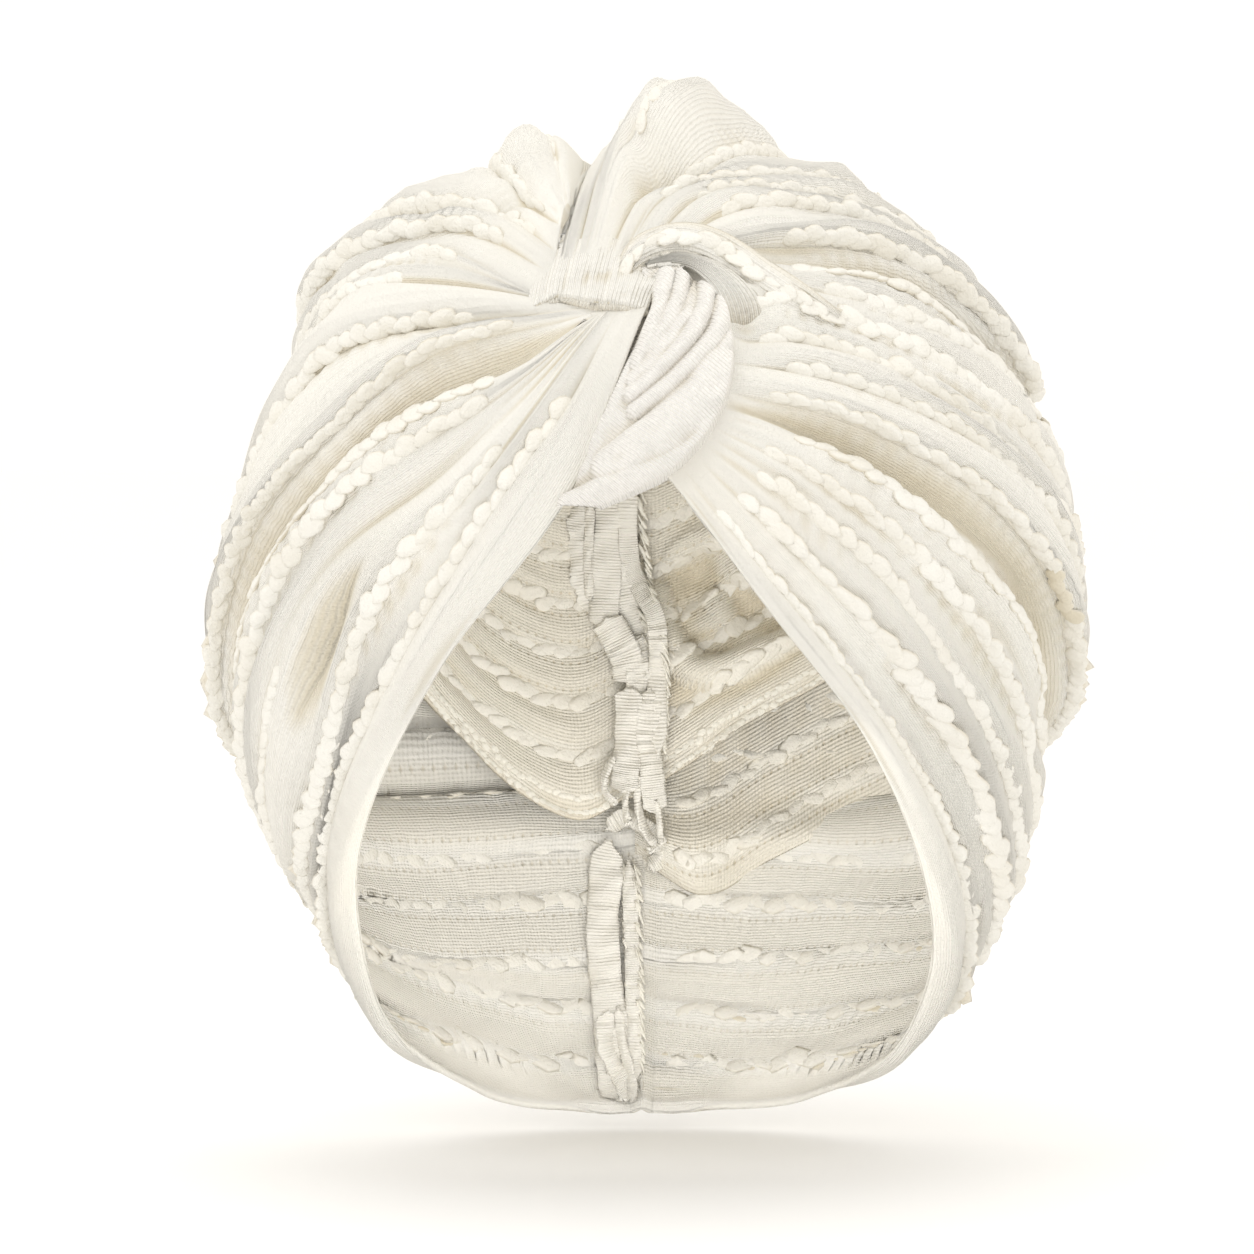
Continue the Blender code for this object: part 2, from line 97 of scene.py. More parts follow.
RIGHT_FOLDS = [
    Fold((4, -63), (26, -92), (49, -123), (65, -163), 153, 157, 0.0, 4.0, 0.00, 0),
    Fold((7, -61), (28, -87), (53, -119), (71, -155), 146, 150, 1.0, 3.0, 0.10, 0),
    Fold((10, -59), (34, -82), (57, -108), (75, -140), 139, 143.5, 1.5, 3.0, 0.10, 0),
    Fold((12, -56), (36, -73), (58, -94), (76, -123), 130, 137.5, 1.0, 2.5, 0.10, 0),
    Fold((13, -53), (38, -66), (62, -86), (79, -110), 123, 131, 1.0, 3.0, 0.10, 0),
    Fold((15, -50), (41, -59), (66, -77), (84, -98), 114, 125.5, 0.5, -4.0, 0.00, 0),
    Fold((16, -46), (41, -52), (67, -66), (86, -85), 104, 120, 2.5, 5.0, 0.30, 0),
    Fold((17, -40), (38, -44), (63, -54), (85, -72), 96, 114, 2.0, 3.5, 0.15, 0),
    Fold((17, -34), (35, -36), (58, -45), (81, -62), 89, 108, 1.5, 3.0, 0.10, 0),
    Fold((16, -26), (34, -29), (58, -38), (80, -53), 82, 101.5, 1.5, 3.0, 0.10, 0),
    Fold((14, -22), (35, -24), (60, -32), (82, -46), 76, 95, 1.5, 3.0, 0.05, 0),
    Fold((12, -18.5), (36, -20), (62, -26), (81, -37), 69, 88, 0.5, -3.5, 0.00, 0),
    Fold((9, -16.8), (34, -15), (56, -19), (73, -25), 61, 81, 2.0, 5.0, 0.30, 0),
    Fold((4, -17.2), (20, -8), (38, -8), (58, -13), 50, 73.5, 2.5, 4.0, 0.10, 0),
    Fold((-1, -18.5), (12, -2), (30, -3), (48, -6), 41, 66, 3.0, 4.0, 0.10, 0),
    Fold((-5, -20), (5, 0), (22, 3), (39, 3), 31, 58, 4.0, 4.0, 0.10, 0),
    Fold((-9, -21), (-1, -1), (11, 4), (23, 6), 19, 49, 5.0, 4.0, 0.00, 0),
    Fold((-13, -22), (-6, -4), (0, 3), (6, 5), 8, 40, 6.0, 3.0, 0.00, 15),
    Fold((-16.5, -24), (-11, -8), (-7, 0), (-4, 4), 0, 29, 5.0, 3.0, 0.00, 7),
    Fold((-19, -25), (-16.5, -12), (-14.5, -4), (-12, 2), -5, 16, 1.0, 0.0, 0.00, 0),
]

# Pleated tongue of the knot: its edges seen from the front, by height
Tongue = namedtuple("Tongue", "z left under right rise")
TONGUE = [
    Tongue(-20.5, -2, 1.5, 9, 3.4), Tongue(-26, -3, 3.6, 17, 4.5), Tongue(-34, -6, 0.6, 20, 6.0),
    Tongue(-42, -10, -3.4, 20, 7.0), Tongue(-50, -14, -7.4, 18, 7.0), Tongue(-58, -18, -11.4, 13, 6.0),
    Tongue(-65, -21, -14.4, 5, 4.5), Tongue(-71, -23, -17.4, -9, 2.6),
]
UNDER_RIM = 3.0             # the tongue's left edge lies this far behind the left panel's face

# Collar: a narrow lip of cloth wrapped across the top of the knot
Collar = namedtuple("Collar", "x z half_width")
COLLAR = [
    Collar(-23.5, -28.0, 1.2), Collar(-20, -25.0, 2.6), Collar(-15.5, -23.5, 3.2),
    Collar(-10, -23.5, 3.4), Collar(-5, -25.5, 3.0), Collar(-1, -28.0, 1.6),
]

# Inner drape: hem by angle round from the centre back, as angle down from the crown
Drape = namedtuple("Drape", "around hem")
DRAPE_LEFT = [
    Drape(2.2, 121.5), Drape(10, 125), Drape(17, 124), Drape(25, 119.5), Drape(33, 112),
    Drape(50, 97), Drape(70, 86), Drape(90, 78),
]
DRAPE_RIGHT = [
    Drape(2.2, 120), Drape(9, 117), Drape(15, 113.5), Drape(23, 109), Drape(29, 106),
    Drape(50, 95), Drape(70, 84), Drape(90, 76),
]
DRAPE_TOP = 34.0            # angle down from the crown of the drape's upper edge
DRAPE_TOP_INSET = 2.1
DRAPE_INSET = 11.0          # how far it hangs inside the back wall
DRAPE_RIPPLE = 1.6
DRAPE_WALL = 1.3
DRAPE_FIRST_ROW = 14.0      # the lowest puffed row lies this far above the hem
DRAPE_ROW_SPACING = 13.5


def smooth(xs, ys, x):
    """Smooth curve through the points (xs, ys), read at x."""
    xs = np.asarray(xs, float)
    ys = np.asarray(ys, float)
    slopes = np.gradient(ys, xs)
    i = np.clip(np.searchsorted(xs, x) - 1, 0, len(xs) - 2)
    h = xs[i + 1] - xs[i]
    t = np.clip((x - xs[i]) / h, 0, 1)
    a = (2 * t**3 - 3 * t**2 + 1) * ys[i] + (t**3 - 2 * t**2 + t) * h * slopes[i]
    b = (3 * t**2 - 2 * t**3) * ys[i + 1] + (t**3 - t**2) * h * slopes[i + 1]
    return a + b


def column(rows, name):
    return np.array([getattr(row, name) for row in rows], float)


def form_point(way):
    """Point of the round form in a direction given as a unit vector."""
    clock = np.degrees(np.arctan2(way[..., 0], way[..., 2])) % 360
    q = np.minimum(np.hypot(way[..., 0], way[..., 2]), 1)
    side = smooth(column(OUTLINE, "clock"), column(OUTLINE, "radius"), clock)
    radius = FORM_RADIUS + (side - FORM_RADIUS) * q**2
    x = radius * way[..., 0]
    z = FORM_CENTRE_Z + radius * way[..., 2]
    heights = column(DEPTH, "z")
    front = smooth(heights, column(DEPTH, "front"), z)
    back = smooth(heights, column(DEPTH, "back"), z)
    y = smooth(heights, column(DEPTH, "middle"), z) + np.where(way[..., 1] < 0, front, back) * way[..., 1]
    return np.stack([x, y, z], axis=-1)


def way_to(x, z, most=1.0):
    """Direction in which the form's front lies at (x, z), no nearer its side than most."""
    distance = math.hypot(x, z - FORM_CENTRE_Z)
    clock = math.atan2(x, z - FORM_CENTRE_Z)
    side = smooth(column(OUTLINE, "clock"), column(OUTLINE, "radius"), math.degrees(clock) % 360)
    q = distance / side
    for _ in range(30):
        q = min(distance / (FORM_RADIUS + (side - FORM_RADIUS) * q**2), 1)
    q = min(q, most)
    return np.array([q * math.sin(clock), -math.sqrt(1 - q * q), q * math.cos(clock)])


def unit(v):
    return v / np.linalg.norm(v, axis=-1, keepdims=True)


def fold_ways(folds, side, u):
    """Directions along each fold line of a panel at the fractions u of its length."""
    lines = []
    for fold in folds:
        spots = [way_to(*spot, most) for spot, most in zip(fold[:4], FRONT_REACH)]
        clock = math.radians(fold.clock)
        spots.append(np.array([math.sin(clock), 0, math.cos(clock)]))
        down = math.radians(fold.seam)
        spots.append(unit(np.array([side * SEAM_GAP / FORM_RADIUS, math.sin(down), math.cos(down)])))
        lines.append(spots)
    lines = np.array(lines)
    steps = np.linalg.norm(np.diff(lines, axis=1), axis=2).mean(axis=0)
    knots = np.concatenate([[0], np.cumsum(steps)])
    slopes = np.gradient(lines, knots, axis=1)
    slopes[:, -1] = 0
    slopes[:, -1, 0] = (lines[:, -1, 0] - lines[:, -2, 0]) * 1.1
    x = u * knots[-1]
    i = np.clip(np.searchsorted(knots, x) - 1, 0, len(knots) - 2)
    h = (knots[i + 1] - knots[i])[None, :, None]
    t = ((x - knots[i]) / (knots[i + 1] - knots[i]))[None, :, None]
    a = (2 * t**3 - 3 * t**2 + 1) * lines[:, i] + (t**3 - 2 * t**2 + t) * h * slopes[:, i]
    b = (3 * t**2 - 2 * t**3) * lines[:, i + 1] + (t**3 - t**2) * h * slopes[:, i + 1]
    return unit(a + b)


def across(lines, t):
    """Value at each t across the fold lines, t counting whole lines."""
    count = len(lines)
    i = np.clip(np.floor(t).astype(int), 0, count - 2)
    f = (t - i)
    shape = f.shape + (1,) * (lines.ndim - f.ndim)
    f = f.reshape(shape)
    slopes = np.gradient(lines, axis=0)
    if t.ndim == 1:
        p, q, m, n = lines[i], lines[i + 1], slopes[i], slopes[i + 1]
    else:
        j = np.arange(lines.shape[1])[None, :]
        p, q, m, n = lines[i, j], lines[i + 1, j], slopes[i, j], slopes[i + 1, j]
    return ((2 * f**3 - 3 * f**2 + 1) * p + (f**3 - 2 * f**2 + f) * m
            + (3 * f**2 - 2 * f**3) * q + (f**3 - f**2) * n)


def outward(grid):
    """Unit normals of a grid of points, away from the middle of the hat."""
    normal = np.cross(np.gradient(grid, axis=0), np.gradient(grid, axis=1))
    normal = unit(normal)
    middle = np.array([0, 5, FORM_CENTRE_Z])
    sign = np.sign(((grid - middle) * normal).sum(axis=-1, keepdims=True))
    return normal * sign


# Looks of each bubble row: the part of its length that shows (fractions from
# the knot to the back seam), the size of its puffs, how far they slant in
# degrees, how far above the fold line they sit (share of the fold), and the
# height of the ridge under them in millimetres.
Row = namedtuple("Row", "first last size slant shift ridge")
LEFT_ROWS = [
    Row(0, 0, 0, 0, 0, 0), Row(0.10, 1, 1.00, 20, 0.05, 0.6), Row(0.12, 1, 0.95, 10, 0.05, 0.6),
    Row(0.36, 1, 0.95, 10, 0.0, 0.6), Row(0.12, 1, 1.00, 12, 0.05, 0.6), Row(0.12, 1, 0.85, 5, -0.05, 0.5),
    Row(0.09, 1, 0.80, 5, 0.10, 0.5), Row(0.10, 1, 0.95, 8, 0.10, 0.6), Row(0.16, 1, 0.80, 0, 0.06, 0.5),
    Row(0.10, 1, 0.75, 0, 0.05, 0.3), Row(0.08, 1, 0.95, 5, 0.08, 0.6), Row(0.06, 1, 1.10, 12, 0.08, 0.7),
    Row(0.08, 1, 1.00, 5, 0.05, 0.6), Row(0.10, 1, 0.90, 0, 0.0, 0.5), Row(0, 0, 0, 0, 0, 0),
]
RIGHT_ROWS = [
    Row(0, 0, 0, 0, 0, 0), Row(0.05, 1, 0.95, 15, 0.05, 0.6), Row(0.05, 1, 1.15, 35, 0.05, 0.8),
    Row(0.06, 1, 0.95, 10, 0.05, 0.6), Row(0.06, 1, 0.95, 10, 0.05, 0.6), Row(0.08, 1, 0.90, 5, -0.05, 0.6),
    Row(0.05, 1, 0.95, 8, 0.10, 0.6), Row(0.08, 1, 0.90, 5, 0.06, 0.5), Row(0.06, 1, 0.95, 5, 0.05, 0.6),
    Row(0.05, 1, 0.90, 0, 0.05, 0.6), Row(0.14, 1, 0.85, 0, 0.05, 0.4), Row(0.10, 1, 0.90, 5, -0.05, 0.6),
    Row(0.10, 1, 0.95, 8, 0.10, 0.6), Row(0.10, 1, 0.95, 5, 0.06, 0.6), Row(0.12, 1, 0.90, 5, 0.05, 0.6),
    Row(0.12, 1, 0.90, 5, 0.05, 0.5), Row(0.14, 1, 0.85, 5, 0.05, 0.5), Row(0.20, 1, 0.85, 5, 0.0, 0.5),
    Row(0.30, 1, 0.80, 0, 0.0, 0.4), Row(0, 0, 0, 0, 0, 0),
]
PUFF_PITCH = 4.6            # along a row
PUFF_HALF_WIDTH = 2.40
PUFF_HEIGHT = 1.10
PUFF_SINK = 0.30            # how far a puff's middle lies under the cloth
STRIPE = 12.0               # flat width of one stripe of the jersey

# Local dents and swellings of the panels: where (fold, fraction along), how far they reach, depth
Dent = namedtuple("Dent", "side t u t_reach u_reach depth")
DENTS = [
    Dent(-1, 2.62, 0.315, 0.135, 0.065, -9.5),
    Dent(-1, 3.15, 0.17, 0.35, 0.05, -2.5),
    Dent(-1, 12.6, 0.30, 0.50, 0.06, -4.0),
    Dent(-1, 11.6, 0.17, 0.50, 0.05, -3.5),
    Dent(-1, 9.5, 0.32, 0.80, 0.10, -1.5),
    Dent(1, 16.3, 0.19, 0.70, 0.06, -8.0),
    Dent(1, 5.5, 0.10, 0.50, 0.06, -2.5),
    Dent(1, 8.4, 0.045, 0.70, 0.03, -3.0),
    Dent(1, 10.5, 0.30, 0.70, 0.10, -1.5),
    Dent(1, 4.6, 0.46, 0.60, 0.03, -3.0),
]
Panel = namedtuple("Panel", "name folds rows side")
PANEL_LEFT = Panel("turban_panel_left", LEFT_FOLDS, LEFT_ROWS, -1)
PANEL_RIGHT = Panel("turban_panel_right", RIGHT_FOLDS, RIGHT_ROWS, 1)
UNDERLAP_DEPTH = 2.6        # the right panel's crown edge tucks this far under the left one
OVERLAP_DEPTH = 1.3         # and the left one's edge bends down onto it
KNOT_TUCK = 9.0             # how far the right panel runs on into the knot, and the left one
KNOT_TUCK_LEFT = 4.0
KNOT_TUCK_STEPS = 7
KNOT_X = -1.0               # where the right panel's gathers run together in the knot
KNOT_Z = -38.0
KNOT_X_LEFT = -5.0          # and the left panel's, under the collar
KNOT_Z_LEFT = -22.0
VALLEY_POWER = 1.7          # how narrow the bottom of a deep valley is
BACK_CALM = 0.5             # how much flatter the folds lie over the nape


def step(x, low, high):
    """Smooth step from 0 at low to 1 at high."""
    f = np.clip((x - low) / (high - low), 0, 1)
    return f * f * (3 - 2 * f)


def waves(seed, count, across_range, along_range):
    """Random plane waves over a panel, for creases that run mostly along its folds."""
    draw = np.random.default_rng(seed)
    parts = []
    for _ in range(count):
        a = draw.uniform(*across_range)
        b = draw.uniform(*along_range) * draw.choice([-1, 1])
        parts.append((a, b, draw.uniform(0, 6.28)))
    return parts


def wave_sum(parts, t, u):
    total = 0
    for a, b, phase in parts:
        total = total + np.sin(2 * math.pi * (a * t + b * u) + phase)
    return total / len(parts)


CREASES = waves(5, 9, (0.35, 1.6), (1.0, 5.0))
FINE_CREASES = waves(8, 9, (1.2, 3.4), (3.0, 9.0))
SEAM_PUCKERS = waves(9, 5, (1.3, 3.1), (0.0, 2.0))


def panel_ways(panel, u):
    """Fold directions of a panel with the tucked edge by the other panel, and its fold columns."""
    ways = fold_ways(panel.folds, panel.side, u)
    lift, crest, puff, lean = (column(panel.folds, name) for name in ("lift", "crest", "puff", "lean"))
    if panel.side > 0:
        border = fold_ways(LEFT_FOLDS, -1, u)[-1]
        tuck = unit(border + 0.9 * (border - ways[-1]))
        depth = -UNDERLAP_DEPTH
    else:
        border = fold_ways(RIGHT_FOLDS, 1, u)[-1]
        tuck = unit(border + 0.25 * (border - ways[-1]))
        depth = -OVERLAP_DEPTH
    ways = np.concatenate([ways, tuck[None]])
    lift = np.append(lift, depth)
    crest = np.append(crest, crest[-1] * 0.7)
    return ways, lift, crest, np.append(puff, 0), np.append(lean, 0)


def blur(grid, axis, half):
    """Mean over a window of points along one axis, twice over."""
    for _ in range(2):
        margins = [(half + 1, half) if k == axis else (0, 0) for k in range(grid.ndim)]
        padded = np.pad(grid, margins, mode="edge")
        total = np.cumsum(padded, axis=axis)
        size = 2 * half + 1
        count = total.shape[axis]
        upper = np.take(total, np.arange(size, count), axis=axis)
        lower = np.take(total, np.arange(count - size), axis=axis)
        grid = (upper - lower) / size
    return grid


def hollows(spot, normal, across_half, along_half, scale):
    """How deep each point of a grid lies in a hollow, from 0 on a crest to 1."""
    calm = blur(blur(spot, 0, across_half), 1, along_half)
    return np.clip(((calm - spot) * normal).sum(axis=-1) / scale, 0, 1)


def surface(panel, t, u):
    """Outer face of a panel at fold numbers t and fractions u: points, normals, painted shade in its hollows,
    fold widths.

    Fractions below zero run on into the knot."""
    inside = np.clip(-u, 0, None)[None, :] / 0.03
    tucked = int((u < 0).sum())
    u = np.clip(u, 0, 1)
    ways, lifts, crests, puffs, leans = panel_ways(panel, u)
    count = len(ways)
    base = form_point(ways)
    width = np.linalg.norm(np.diff(base, axis=0), axis=2)
    band = np.clip(t.astype(int), 0, count - 2)
    f = t - band
    grow = np.minimum(width / FULL_FOLD, 1)[band]
    fade = (np.clip((1 - u) / 0.10, 0, 1) * np.clip(u / 0.09, 0, 1))[None, :]
    hump = np.sin(math.pi * f)[:, None]
    strength = grow * fade
    puff = puffs[band][:, None]
    lean = leans[band][:, None]
    fold = np.abs(puff) > 3.2
    power = np.where(puff < -3.2, VALLEY_POWER, np.where(fold, 0.8, 1.0))
    relief = np.where(fold, puff, puff * 0.55) * (np.maximum(hump, 1e-6) ** power)
    relief = relief * (1 - BACK_CALM * step(u, 0.48, 0.70))[None, :]
    where = np.clip(t[:, None] - lean * hump * strength, 0, count - 1)
    spot = form_point(unit(across(ways, where)))
    normal = outward(spot[:, tucked:])
    normal = np.concatenate([np.repeat(normal[:, :1], tucked, axis=1), normal], axis=1)
    rise = step(u, 0, 0.35)[None, :]
    lift = across(lifts, t)[:, None]
    lift = np.where(lift > 0, lift * fade * rise, lift)
    tt, uu = t[:, None], u[None, :]
    # ridges and puckers by the bubble rows
    nearest = np.clip(np.rint(t).astype(int), 0, len(panel.rows) - 1)
    fields = ("ridge", "first", "shift")
    sizes, firsts, shift = (column(panel.rows, name)[nearest][:, None] for name in fields)
    length = np.linalg.norm(np.diff(base[:, ::4], axis=1), axis=2).sum(axis=1).mean()
    gap = (tt - nearest[:, None] - shift) * width[band]
    shown = step(uu, firsts, firsts + 0.05) * np.clip(grow * 1.6, 0, 1)
    ridge = sizes * np.exp(-((gap / 2.3) ** 2)) * shown
    beat = np.sin(2 * math.pi * uu * length / PUFF_PITCH + nearest[:, None] * 1.7)
    pucker = 0.22 * beat * np.exp(-((np.abs(gap) - 2.9) / 1.3) ** 2) * shown * (sizes > 0)
    crease = 1.9 * wave_sum(CREASES, tt, uu) * grow * fade
    crease = crease + 0.8 * wave_sum(FINE_CREASES, tt, uu) * grow * fade
    pinch = step(uu, 0.008, 0.04) * (1 - step(uu, 0.12, 0.34))
    crease = crease + 0.42 * pinch * np.sin(2 * math.pi * 2 * tt + 5 * uu + np.sin(3 * tt)) * (1 - 0.5 * grow)
    seam_fold = step(uu, 0.86, 0.97) * 1.8 * wave_sum(SEAM_PUCKERS, tt, uu)
    seam_fade = np.clip((1 - u) / 0.03, 0, 1)[None, :]
    offset = lift + relief * strength + (ridge + pucker) * seam_fade + crease + seam_fold
    offset = offset - 2.2 * step(uu, 0.982, 1.0)
    for dent in DENTS:
        if dent.side == panel.side:
            reach = ((tt - dent.t) / dent.t_reach) ** 2 + ((uu - dent.u) / dent.u_reach) ** 2
            offset = offset + dent.depth * np.exp(-reach)
    offset = offset - (KNOT_TUCK if panel.side > 0 else KNOT_TUCK_LEFT) * inside ** 1.5
    spot = spot + normal * offset[..., None]
    heart = np.array([KNOT_X, 0, KNOT_Z]) if panel.side > 0 else np.array([KNOT_X_LEFT, 0, KNOT_Z_LEFT])
    pull = np.clip(inside, 0, 1) ** 2 * 0.45
    spot = spot + (heart - spot) * pull[..., None] * np.array([1, 0, 1])
    crest = np.maximum(across(crests, t), 0)[:, None]
    near = np.exp(-((spot[..., 1] - CREST_Y) / CREST_LENGTH) ** 2) * np.clip((spot[..., 2] + 30) / 30, 0, 1)
    spot[..., 2] += crest * near
    face = outward(spot)
    # Painted shade: low, the depth of each point in a hollow, sets how much shade colour is painted there; it
    # is weaker towards the back.
    low = hollows(spot, face, 3, 3, np.clip(0.11 * width[band], 0.25, 1.3)) * (1 - 0.35 * step(uu, 0.42, 0.7))
    return spot, face, low, width


def material_nodes(mat):
    mat.use_nodes = True
    tree = mat.node_tree
    return tree, tree.nodes["Principled BSDF"]


class Graph:
    """Small helper that wires shader nodes."""

    def __init__(self, mat):
        self.tree, self.shader = material_nodes(mat)

    def node(self, kind, **settings):
        made = self.tree.nodes.new(kind)
        for key, value in settings.items():
            setattr(made, key, value)
        return made

    def link(self, out, socket):
        self.tree.links.new(out, socket)

    def put(self, socket, value):
        if isinstance(value, bpy.types.NodeSocket):
            self.link(value, socket)
        else:
            socket.default_value = value

    def math(self, operation, a, b=0.0, clamp=False):
        made = self.node("ShaderNodeMath", operation=operation, use_clamp=clamp)
        for socket, value in zip(made.inputs, (a, b)):
            self.put(socket, value)
        return made.outputs[0]

    def noise(self, vector, scale, detail=1.0, rough=0.5):
        made = self.node("ShaderNodeTexNoise")
        self.link(vector, made.inputs["Vector"])
        made.inputs["Scale"].default_value = scale
        made.inputs["Detail"].default_value = detail
        made.inputs["Roughness"].default_value = rough
        return made.outputs["Fac"]

    def mix(self, factor, a, b):
        made = self.node("ShaderNodeMix", data_type="RGBA")
        self.put(made.inputs["Factor"], factor)
        self.put(made.inputs["A"], a)
        self.put(made.inputs["B"], b)
        return made.outputs["Result"]

    def bump(self, height, distance):
        made = self.node("ShaderNodeBump")
        made.inputs["Strength"].default_value = 1.0
        made.inputs["Distance"].default_value = distance
        self.link(height, made.inputs["Height"])
        return made.outputs["Normal"]


# The cloth's surface, in metres as the shaders measure it
RIB_PITCH = 0.00078
RIB_DEPTH = 0.00027
CRIMP_DEPTH = 0.00030
PINHOLE_PITCH = 0.0021
CLOTH_LOOK = {
    "Sheen Weight": 0.15,
    "Sheen Roughness": 0.5,
    "Sheen Tint": (1.0, 0.94, 0.80, 1),
    "Specular IOR Level": 0.2,
}
FLECK_X = 0.0588            # one dark fleck on the inside of the right panel, by the nape
FLECK_Z = -0.1812
FLECK_RADIUS = 0.00032
FLECK_COLOUR = (0.16, 0.13, 0.10)


def soften(shader, roughness):
    """A thin matt cloth, a little downy."""
    shader.inputs["Roughness"].default_value = roughness
    for name, value in CLOTH_LOOK.items():
        shader.inputs[name].default_value = value


def jersey(name, light, shade, rib=1.0, weave_share=0.18, pinholes=False, fleck=False):
    """Ribbed jersey: fine ribs along the stripe, a faint cross weave, painted warm shade in its hollows.

    The ribs and weave fade with the point value room, where the cloth is gathered tight."""
    mat = bpy.data.materials.new(name)
    g = Graph(mat)
    uv = g.node("ShaderNodeUVMap", uv_map="cloth").outputs["UV"]
    split = g.node("ShaderNodeSeparateXYZ")
    g.link(uv, split.inputs[0])
    along, over = split.outputs["X"], split.outputs["Y"]
    coords = g.node("ShaderNodeTexCoord").outputs["Object"]
    drift = g.noise(coords, 90.0)
    wander = g.math("MULTIPLY", drift, 0.0009)
    ribs = g.math("SINE", g.math("MULTIPLY", g.math("ADD", over, wander), 2 * math.pi / RIB_PITCH))
    weave = g.math("SINE", g.math("MULTIPLY", g.math("ADD", along, wander), 2 * math.pi / (RIB_PITCH * 1.15)))
    fuzz = g.noise(coords, 1500.0, rough=0.6)
    room = g.node("ShaderNodeAttribute", attribute_name="room").outputs["Fac"]
    ribs = g.math("MULTIPLY", ribs, room)
    weave = g.math("MULTIPLY", weave, room)
    height = g.math("ADD", g.math("MULTIPLY", ribs, 0.5), g.math("MULTIPLY", weave, weave_share))
    height = g.math("ADD", height, g.math("MULTIPLY", fuzz, 0.9))
    if pinholes:
        place = g.node("ShaderNodeAttribute", attribute_name="stripe").outputs["Fac"]
        away = g.math("ABSOLUTE", g.math("SUBTRACT", g.math("FRACT", g.math("ADD", place, 0.5)), 0.5))
        side = g.math("ABSOLUTE", g.math("SUBTRACT", away, 0.23))
        turn = g.math("FRACT", g.math("DIVIDE", along, PINHOLE_PITCH))
        beat = g.math("ABSOLUTE", g.math("SUBTRACT", turn, 0.5))
        near = g.math("ADD", g.math("MULTIPLY", side, STRIPE), g.math("MULTIPLY", beat, PINHOLE_PITCH * 1000))
        hole = g.math("SUBTRACT", 1.0, g.math("DIVIDE", near, 0.62), clamp=True)
        hole = g.math("MULTIPLY", hole, g.math("MULTIPLY", g.math("SUBTRACT", room, 0.45), 2.5, clamp=True))
        hole = g.math("MULTIPLY", hole, g.math("MULTIPLY", g.math("SUBTRACT", place, 0.85), 4.0, clamp=True))
        height = g.math("SUBTRACT", height, g.math("MULTIPLY", hole, 1.6))
        strip = g.math("MULTIPLY", g.math("SUBTRACT", 0.25, away), 8.0, clamp=True)
    # Painted shade: the attribute low, the depth of each point in a hollow, mixes in the shade colour; the
    # cloud is the cloth's own uneven tone.
    low = g.node("ShaderNodeAttribute", attribute_name="low").outputs["Fac"]
    patch = g.noise(coords, 22.0)
    cloud = g.math("MULTIPLY", g.math("SUBTRACT", patch, 0.5), 0.5)
    tone = g.math("ADD", g.math("MULTIPLY", low, 0.75), cloud, clamp=True)
    # Painted shade: the rib grooves are coloured a little darker.
    tone = g.math("ADD", tone, g.math("MULTIPLY", g.math("SUBTRACT", 0.0, ribs), 0.06 * rib), clamp=True)
    if pinholes:
        tone = g.math("ADD", g.math("MULTIPLY", tone, 0.8), g.math("MULTIPLY", hole, 0.7))
        tone = g.math("SUBTRACT", g.math("ADD", tone, 0.25), g.math("MULTIPLY", strip, 0.25), clamp=True)
    colour = g.mix(tone, (*light, 1), (*shade, 1))
    if fleck:
        place = g.node("ShaderNodeSeparateXYZ")
        g.link(coords, place.inputs[0])
        aside = g.math("SUBTRACT", place.outputs["X"], FLECK_X)
        above = g.math("SUBTRACT", place.outputs["Z"], FLECK_Z)
        squares = g.math("ADD", g.math("MULTIPLY", aside, aside), g.math("MULTIPLY", above, above))
        away = g.math("SQRT", squares)
        dark = g.math("SUBTRACT", 1.6, g.math("DIVIDE", away, FLECK_RADIUS), clamp=True)
        colour = g.mix(dark, colour, (*FLECK_COLOUR, 1))
    g.link(colour, g.shader.inputs["Base Color"])
    g.link(g.bump(height, RIB_DEPTH * rib), g.shader.inputs["Normal"])
    soften(g.shader, 0.82)
    return mat


def puffed(name, light, shade):
    """Cloth of the puffs and threads: soft crimps, fine fuzz and painted shade at their base."""
    mat = bpy.data.materials.new(name)
    g = Graph(mat)
    coords = g.node("ShaderNodeTexCoord").outputs["Object"]
    crimps = g.noise(coords, 420.0, 2.0, 0.6)
    fuzz = g.noise(coords, 1600.0, rough=0.6)
    height = g.math("ADD", g.math("MULTIPLY", crimps, 1.6), g.math("MULTIPLY", fuzz, 0.8))
    patch = g.noise(coords, 60.0)
    # Painted shade: low mixes in the shade colour, strongest at the base of each puff.
    low = g.node("ShaderNodeAttribute", attribute_name="low").outputs["Fac"]
    cloud = g.math("MULTIPLY", g.math("SUBTRACT", patch, 0.4), 0.6)
    tone = g.math("ADD", cloud, g.math("MULTIPLY", low, 0.8), clamp=True)
    g.link(g.mix(tone, (*light, 1), (*shade, 1)), g.shader.inputs["Base Color"])
    g.link(g.bump(height, CRIMP_DEPTH), g.shader.inputs["Normal"])
    soften(g.shader, 0.80)
    return mat


# In every material below, the second colour is painted shade, mixed in by the attribute low.
IVORY = (0.862, 0.846, 0.795)
IVORY_SHADE = (0.68, 0.61, 0.46)
INSIDE = (0.862, 0.850, 0.812)
INSIDE_SHADE = (0.73, 0.685, 0.585)
